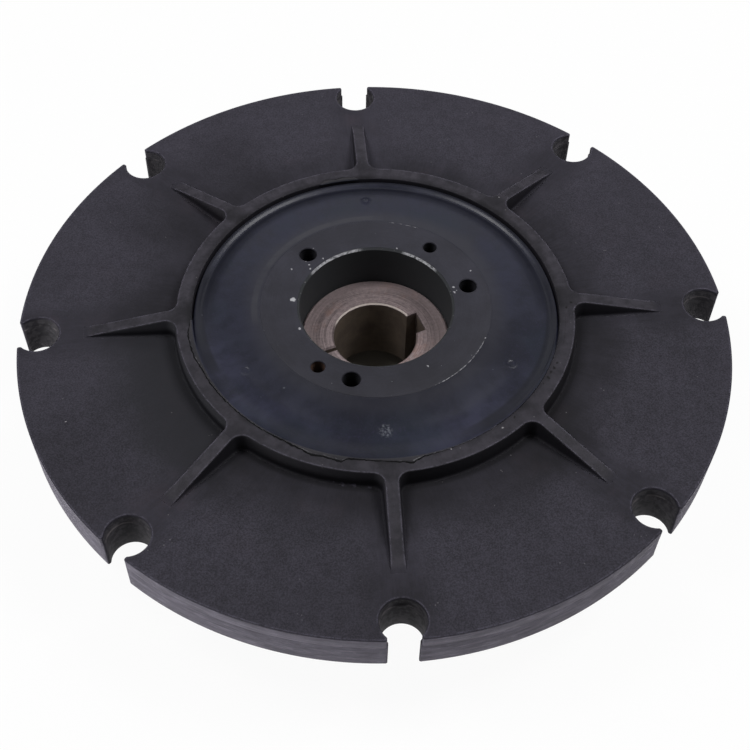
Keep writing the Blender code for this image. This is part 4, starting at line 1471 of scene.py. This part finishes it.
def tapped_hole(shape, centre, radius, pitch, top, bottom, blind):
    """A countersunk tapped hole; returns its first row, and its last one when it goes through."""
    lead = 0.35 * MM
    section = [(radius + lead, top), (radius, top - lead)]
    mouth = turned_rows(shape, section, THREAD_STEPS, centre)
    end = bottom if blind else bottom + lead
    thread = threaded_rows(shape, centre, radius, pitch * 0.5, pitch, top - lead, end)
    bridge(shape, mouth, True)
    rows = [mouth[-1]] + thread[1:]
    bridge(shape, rows, True)
    if blind:
        point = shape.verts.new((centre[0], centre[1], bottom - radius * 0.6))
        last = thread[-1]
        for i, corner in enumerate(last):
            face = shape.faces.new((corner, last[(i + 1) % len(last)], point))
            face.smooth = True
        return mouth[0], None
    exit_row = turned_rows(shape, [(radius + lead, bottom)], THREAD_STEPS, centre)[0]
    bridge(shape, [thread[-1], exit_row], True)
    return mouth[0], exit_row


class COUPLING_OT_hub(bpy.types.Operator):
    """Build the hub"""

    bl_idname = "coupling.hub"
    bl_label = "Build Hub"

    def execute(self, context):
        settings = context.scene.coupling
        sizes = settings.hub
        top = HUB_HIGH.z
        bottom = HUB_LOW.z
        seat = BUSH_HIGH.z
        shape = bmesh.new()
        edge = quarter(0.0, top, sizes.edge, 4)
        outside = [(sizes.radius + offset, height) for offset, height in edge]
        outside += [
            (sizes.radius, bottom + sizes.back_chamfer),
            (sizes.radius - sizes.back_chamfer, bottom),
        ]
        inside = [
            (sizes.mouth + sizes.mouth_chamfer, top),
            (sizes.mouth, top - sizes.mouth_chamfer),
            (sizes.mouth, seat),
            (sizes.mouth + (seat - bottom) * BUSH_TAPER, bottom),
        ]
        outer_rows = turned_rows(shape, outside, HUB_STEPS)
        inner_rows = turned_rows(shape, inside, HUB_STEPS)
        bridge(shape, outer_rows, True)
        bridge(shape, inner_rows, True)
        front = [outer_rows[0], inner_rows[0]]
        back = [outer_rows[-1], inner_rows[-1]]
        for i in range(sizes.screw_holes):
            centre = polar(sizes.hole_circle, sizes.first_screw + math.tau * i / sizes.screw_holes)
            pitch = settings.screws.pitch
            mouth, way_out = tapped_hole(shape, centre, sizes.screw_hole, pitch, top, bottom, False)
            front.append(mouth)
            back.append(way_out)
        for i in range(2):
            centre = polar(sizes.hole_circle, sizes.first_puller + math.pi * i)
            floor = top - sizes.puller_depth
            mouth, _ = tapped_hole(shape, centre, sizes.puller_hole, PULLER_PITCH, top, floor, True)
            front.append(mouth)
        flat_fill(shape, front)
        flat_fill(shape, back)
        mesh = crisp(mesh_from(shape, "hub"))
        place("coupling_hub", mesh, coated_steel(sizes, top), ["hub"])
        return {"FINISHED"}


# Bush


def bush_path(sizes, outer, middle=None):
    """Closed plan of the bush, its keyway on +X and its slit on -X, with a tag for each point."""
    half_slit = sizes.slit / 2
    half_key = sizes.key_width / 2
    key = math.asin(half_key / sizes.bore)
    outer_gap = math.asin(half_slit / outer)
    bore_gap = math.asin(half_slit / sizes.bore)
    floor = sizes.bore + sizes.key_depth
    joint = [(-math.sqrt(middle**2 - half_slit**2), half_slit)] if middle else []
    parts = (
        ("outer", arc(ORIGIN, outer, outer_gap - math.pi, math.pi - outer_gap, BUSH_STEPS)),
        ("slit", joint),
        ("bore", arc(ORIGIN, sizes.bore, math.pi - bore_gap, key, HALF_BORE_STEPS)),
        ("key", [(floor, half_key), (floor, -half_key)]),
        ("bore", arc(ORIGIN, sizes.bore, -key, bore_gap - math.pi, HALF_BORE_STEPS)),
        ("slit", [(x, -y) for x, y in joint]),
    )
    points = [point for _, line in parts for point in line]
    return points, [tag for tag, line in parts for _ in line]


def spun(points, turn):
    """Flat points turned about the origin."""
    c, s = math.cos(turn), math.sin(turn)
    return [(x * c - y * s, x * s + y * c) for x, y in points]


class COUPLING_OT_bush(bpy.types.Operator):
    """Build the split taper bush"""

    bl_idname = "coupling.bush"
    bl_label = "Build Bush"

    def execute(self, context):
        settings = context.scene.coupling
        sizes = settings.bush
        hub = settings.hub
        top = BUSH_HIGH.z
        bottom = BUSH_LOW.z
        step = bottom + sizes.flange
        small = hub.mouth - 0.3 * MM
        shape = bmesh.new()
        points, tags = bush_path(sizes, small)
        points = spun(points, sizes.key_angle)
        normals = side_normals(points)
        cuts = {"outer": sizes.edge, "bore": sizes.bore_chamfer, "key": BURR, "slit": BURR}
        lean = (top - step) * BUSH_TAPER
        sections = []
        for tag in tags:
            cut = cuts[tag]
            grow = lean if tag == "outer" else 0.0
            sections.append([(-cut, top), (0.0, top - cut), (grow, step)])
        barrel = swept_rows(shape, points, normals, sections)
        bridge(shape, barrel, True)
        flat_face(shape, barrel[0])
        rim = BUSH_HIGH.x
        wide = small + lean
        base_points, base_tags = bush_path(sizes, rim, wide)
        base_points = spun(base_points, sizes.key_angle)
        base_normals = side_normals(base_points)
        sections = []
        for tag in base_tags:
            cut = cuts[tag]
            upper = [(0.0, step), (0.0, step - BURR)]
            if tag == "outer":
                upper = [(-cut, step), (0.0, step - cut)]
            sections.append(upper + [(0.0, bottom + cut), (-cut, bottom)])
        plate = swept_rows(shape, base_points, base_normals, sections)
        bridge(shape, plate, True)
        outer = [row for row, tag in zip(plate[0], base_tags) if tag == "outer"]
        shoulder = [row for row, tag in zip(barrel[-1], tags) if tag == "outer"]
        holes = []
        for i in range(hub.screw_holes):
            turn = hub.first_screw + math.tau * i / hub.screw_holes
            hole, lead = 5.5 * MM, 0.4 * MM
            section = [
                (hole + lead, step),
                (hole, step - lead),
                (hole, bottom + lead),
                (hole + lead, bottom),
            ]
            rows = turned_rows(shape, section, CLEARANCE_STEPS, polar(hub.hole_circle, turn))
            bridge(shape, rows, True)
            holes.append((rows[0], rows[-1]))
            centre = polar(hub.hole_circle, turn + sizes.jack_offset)
            pitch = settings.screws.pitch
            jack = tapped_hole(shape, centre, sizes.jack_hole, pitch, step, bottom, False)
            holes.append(jack)
        flat_fill(shape, [outer + shoulder[::-1]] + [high for high, _ in holes])
        flat_fill(shape, [plate[-1]] + [low for _, low in holes])
        mesh = crisp(mesh_from(shape, "taper_bush"), 30.0)
        place("split_bush", mesh, turned_steel(sizes, top), ["taper_bush"])
        return {"FINISHED"}


# Screws and washers


def hexagon_screw(sizes, circle, turn, tip):
    """A hexagon-headed screw, head down, on the hole circle."""
    centre = polar(circle, turn)
    shape = bmesh.new()
    steps = 48
    flat = sizes.across_flats / 2
    bearing = flat * 0.95
    spokes = []
    for i in range(steps):
        spoke = math.tau * i / steps
        within = (spoke + math.pi / 6) % (math.pi / 3) - math.pi / 6
        spokes.append((spoke, flat / math.cos(within)))

    def ring(radius_of, height_of):
        points = []
        for spoke, hexagon in spokes:
            points.append(beside(centre, radius_of(hexagon), spoke + turn, height_of(hexagon)))
        return add_row(shape, points)

    slope = math.tan(math.radians(30.0))
    under_seat = sizes.head - 0.3 * MM
    end = ring(lambda hexagon: bearing, lambda hexagon: 0.0)
    low = ring(lambda hexagon: hexagon, lambda hexagon: (hexagon - bearing) * slope)
    high = ring(lambda hexagon: hexagon, lambda hexagon: under_seat)
    collar = ring(lambda hexagon: bearing, lambda hexagon: under_seat)
    seat = ring(lambda hexagon: bearing, lambda hexagon: sizes.head)
    bridge(shape, [end, low, high, collar, seat], True)
    flat_face(shape, end)
    smooth = sizes.head + 6.0 * MM
    shank_low = [(sizes.thread, sizes.head), (sizes.thread, smooth)]
    shank = turned_rows(shape, shank_low, THREAD_STEPS, centre)
    root, pitch = sizes.thread - sizes.pitch * 0.55, sizes.pitch
    thread = threaded_rows(shape, centre, root, pitch * 0.5, pitch, tip - 0.9 * MM, smooth)
    nose = turned_rows(shape, [(sizes.thread - 1.3 * MM, tip)], THREAD_STEPS, centre)[0]
    bridge(shape, shank + thread[::-1] + [nose], True)
    flat_face(shape, nose)
    flat_fill(shape, [seat, shank[0]])
    return mesh_from(shape, "bush_screw")


def spring_washer(sizes, circle, turn, low, high):
    """A split spring washer with slightly lifted ends."""
    centre = polar(circle, turn)
    shape = bmesh.new()
    steps = 40
    gap = math.radians(9.0)
    cut = 0.2 * MM
    rows = []
    for i in range(steps + 1):
        spoke = gap / 2 + (math.tau - gap) * i / steps
        lift = (high - low) * 0.10 * (i / steps - 0.5)
        base = low + (high - low) * 0.06 + lift
        ceiling = high - (high - low) * 0.06 + lift
        inner, outer = sizes.washer_inner, sizes.washer_outer
        section = (
            (inner + cut, base),
            (outer - cut, base),
            (outer, base + cut),
            (outer, ceiling - cut),
            (outer - cut, ceiling),
            (inner + cut, ceiling),
            (inner, ceiling - cut),
            (inner, base + cut),
        )
        points = [beside(centre, radius, spoke + turn, height) for radius, height in section]
        rows.append(add_row(shape, points))
    bridge(shape, rows, True)
    flat_face(shape, rows[0])
    flat_face(shape, rows[-1])
    return mesh_from(shape, "spring_washer")


class COUPLING_OT_screws(bpy.types.Operator):
    """Build the bush screws and their spring washers"""

    bl_idname = "coupling.screws"
    bl_label = "Build Screws"

    def execute(self, context):
        settings = context.scene.coupling
        sizes = settings.screws
        circle = settings.hub.hole_circle
        first = settings.hub.first_screw
        copies = settings.hub.screw_holes
        zinc = plated_steel("zinc_plate", tuple(sizes.zinc), 0.36)
        spring = plated_steel("spring_steel", tuple(sizes.spring), 0.42)
        screw = hexagon_screw(sizes, circle, first, SCREW_HIGH.z)
        washer = spring_washer(sizes, circle, first, WASHER_LOW.z, WASHER_HIGH.z)
        kinds = (
            ("hexagon_screws", screw, zinc, "screw_steel", "bush_screw_"),
            ("spring_washers", washer, spring, "washer_steel", "lock_washer_"),
        )
        for name, mesh, material, slot, node in kinds:
            values = {"Count": copies, "Merge Distance": 0.0, "Material": material}
            whole = crisp(through_tree(name, mesh, repeat_tree(), values), 32.0)
            nodes = [node + str(number) for number in range(1, copies + 1)]
            place(name, whole, material, nodes)
        return {"FINISHED"}


# Studio

WORLD_LIGHT = 0.14
# Colour of the shadow painted on the floor beneath the hub
SHADOW_BENEATH_HUB = (0.19, 0.175, 0.15)
PALE_FLOOR = (0.86, 0.86, 0.86)
# Each lamp's place, its width and height, and its power in watts
LAMPS = {
    "right": ((0.80, 0.08, 1.40), (0.55, 0.55), 13.2),
    "left": ((-0.80, 0.14, 1.40), (0.55, 0.55), 11.3),
    "back": ((0.1, 1.30, 1.05), (1.2, 0.5), 2.1),
    "table_glow_left": ((-0.85, -0.40, 0.020), (0.7, 0.03), 4.1),
    "table_glow_right": ((0.85, -0.45, 0.020), (0.7, 0.03), 0.55),
}


def lamp(name, location, size, energy):
    """A soft square lamp that faces the coupling."""
    data = bpy.data.lights.new(name, "AREA")
    data.shape = "RECTANGLE"
    data.size, data.size_y = size
    data.energy = energy
    thing = in_scene(name, data)
    thing.location = location
    thing.visible_camera = False
    aim = Vector((0.0, 0.0, 0.04)) - Vector(location)
    thing.rotation_euler = aim.to_track_quat("-Z", "Y").to_euler()


def white_floor(settings):
    """A pale floor that the camera and mirrors see nearly white, with the object's shadow and a
    dark brown shadow painted beneath the hub.
    """
    material = bpy.data.materials.new("studio_floor")
    material.use_nodes = True
    tree = material.node_tree
    shader = tree.nodes["Principled BSDF"]
    shader.inputs["Roughness"].default_value = 0.9
    shader.inputs["Specular IOR Level"].default_value = 0.0
    sockets = {"Color": (*settings.background, 1.0), "Strength": 1.0}
    glow = add_node(tree, "ShaderNodeEmission", None, sockets)
    path = add_node(tree, "ShaderNodeLightPath").outputs
    seen = Number(tree, path["Is Camera Ray"]).most(Number(tree, path["Is Glossy Ray"]))
    seen = seen.most(Number(tree, path["Is Transmission Ray"])) * 0.95
    place_at = add_node(tree, "ShaderNodeTexCoord").outputs["Object"]
    parts = add_node(tree, "ShaderNodeSeparateXYZ", None, {0: place_at})
    x, y = Number(tree, parts.outputs[0]), Number(tree, parts.outputs[1])
    # Beneath the hub the floor does not glow and is painted dark brown as a shadow
    away = ((x * x + y * y) ** 0.5).step(0.060, 0.130)
    seen = seen * away
    sockets = {0: away, 6: opaque(SHADOW_BENEATH_HUB), 7: opaque(PALE_FLOOR)}
    pale = add_node(tree, "ShaderNodeMix", {"data_type": "RGBA"}, sockets)
    tree.links.new(pale.outputs[2], shader.inputs["Base Color"])
    sockets = {0: seen, 1: shader.outputs[0], 2: glow.outputs[0]}
    blend = add_node(tree, "ShaderNodeMixShader", None, sockets)
    tree.links.new(blend.outputs[0], tree.nodes["Material Output"].inputs["Surface"])
    return material


def white_world(settings, strength):
    """Even soft light, seen as white by the camera."""
    world = bpy.data.worlds.new("studio")
    bpy.context.scene.world = world
    world.use_nodes = True
    tree = world.node_tree
    path = add_node(tree, "ShaderNodeLightPath").outputs
    seen = Number(tree, path["Is Camera Ray"])
    level = seen * (1.0 - strength) + strength
    ground = tree.nodes["Background"]
    ground.inputs["Color"].default_value = (*settings.background, 1.0)
    tree.links.new(level.socket, ground.inputs["Strength"])


def camera(settings, disc_height):
    """The camera at the photograph's view."""
    fall, roll = settings.elevation, settings.roll
    forward = Vector((0.0, math.cos(fall), -math.sin(fall)))
    right = Vector((1.0, 0.0, 0.0))
    up = right.cross(forward)
    tilted_right = right * math.cos(roll) + up * math.sin(roll)
    tilted_up = up * math.cos(roll) - right * math.sin(roll)
    aside = tilted_right * 0.25 * MM
    location = -forward * settings.distance - tilted_up * settings.slide - aside
    axes = Matrix((tilted_right, tilted_up, -forward)).transposed().to_4x4()
    turn = Matrix.Rotation(settings.turn, 4, "Z")
    data = bpy.data.cameras.new("photo_view")
    data.lens = settings.lens
    data.sensor_width = 36.0
    data.clip_start = 0.01
    thing = in_scene("photo_view", data)
    stand = Matrix.Translation((0.0, 0.0, disc_height)) @ turn
    thing.matrix_world = stand @ Matrix.Translation(location) @ axes
    bpy.context.scene.camera = thing


class COUPLING_OT_stage(bpy.types.Operator):
    """Build the floor, the lamps and the camera"""

    bl_idname = "coupling.stage"
    bl_label = "Build Stage"

    def execute(self, context):
        settings = context.scene.coupling.studio
        shape = bmesh.new()
        bmesh.ops.create_circle(shape, cap_ends=True, segments=96, radius=settings.floor)
        floor = in_scene("studio_floor", plain_mesh(shape, "studio_floor"))
        floor.data.materials.append(white_floor(settings))
        white_world(settings, WORLD_LIGHT)
        for name, (location, size, energy) in LAMPS.items():
            lamp(name, location, size, energy)
        camera(settings, FLANGE_HIGH.z - context.scene.coupling.flange.ring_height)
        context.scene.view_settings.view_transform = "Standard"
        return {"FINISHED"}


class COUPLING_PT_settings(bpy.types.Panel):
    """Sizes and colours of the coupling, and the buttons that build it"""

    bl_idname = "COUPLING_PT_settings"
    bl_label = "Flexible Coupling"
    bl_space_type = "VIEW_3D"
    bl_region_type = "UI"
    bl_category = "Coupling"

    def draw(self, context):
        settings = context.scene.coupling
        groups = (
            (settings.flange, "coupling.flange"),
            (settings.rubber, "coupling.rubber"),
            (settings.hub, "coupling.hub"),
            (settings.bush, "coupling.bush"),
            (settings.screws, "coupling.screws"),
            (settings.studio, "coupling.stage"),
        )
        for group, operator in groups:
            box = self.layout.box()
            for name in group.__annotations__:
                box.prop(group, name)
            box.operator(operator)


CLASSES = (
    FlangeSettings,
    RubberSettings,
    HubSettings,
    BushSettings,
    ScrewSettings,
    StudioSettings,
    CouplingSettings,
    COUPLING_OT_flange,
    COUPLING_OT_rubber,
    COUPLING_OT_hub,
    COUPLING_OT_bush,
    COUPLING_OT_screws,
    COUPLING_OT_stage,
    COUPLING_PT_settings,
)


def register():
    """Register the classes and hang the settings on the scene."""
    for kind in CLASSES:
        bpy.utils.register_class(kind)
    bpy.types.Scene.coupling = bpy.props.PointerProperty(
        type=CouplingSettings, name="Coupling", description="Settings of the coupling"
    )


def unregister():
    """Take the settings and the classes away again."""
    del bpy.types.Scene.coupling
    for kind in reversed(CLASSES):
        bpy.utils.unregister_class(kind)


def main():
    """Build the coupling and its studio."""
    register()
    bpy.ops.coupling.flange()
    bpy.ops.coupling.rubber()
    bpy.ops.coupling.hub()
    bpy.ops.coupling.bush()
    bpy.ops.coupling.screws()
    bpy.ops.coupling.stage()


if __name__ == "__main__":
    main()
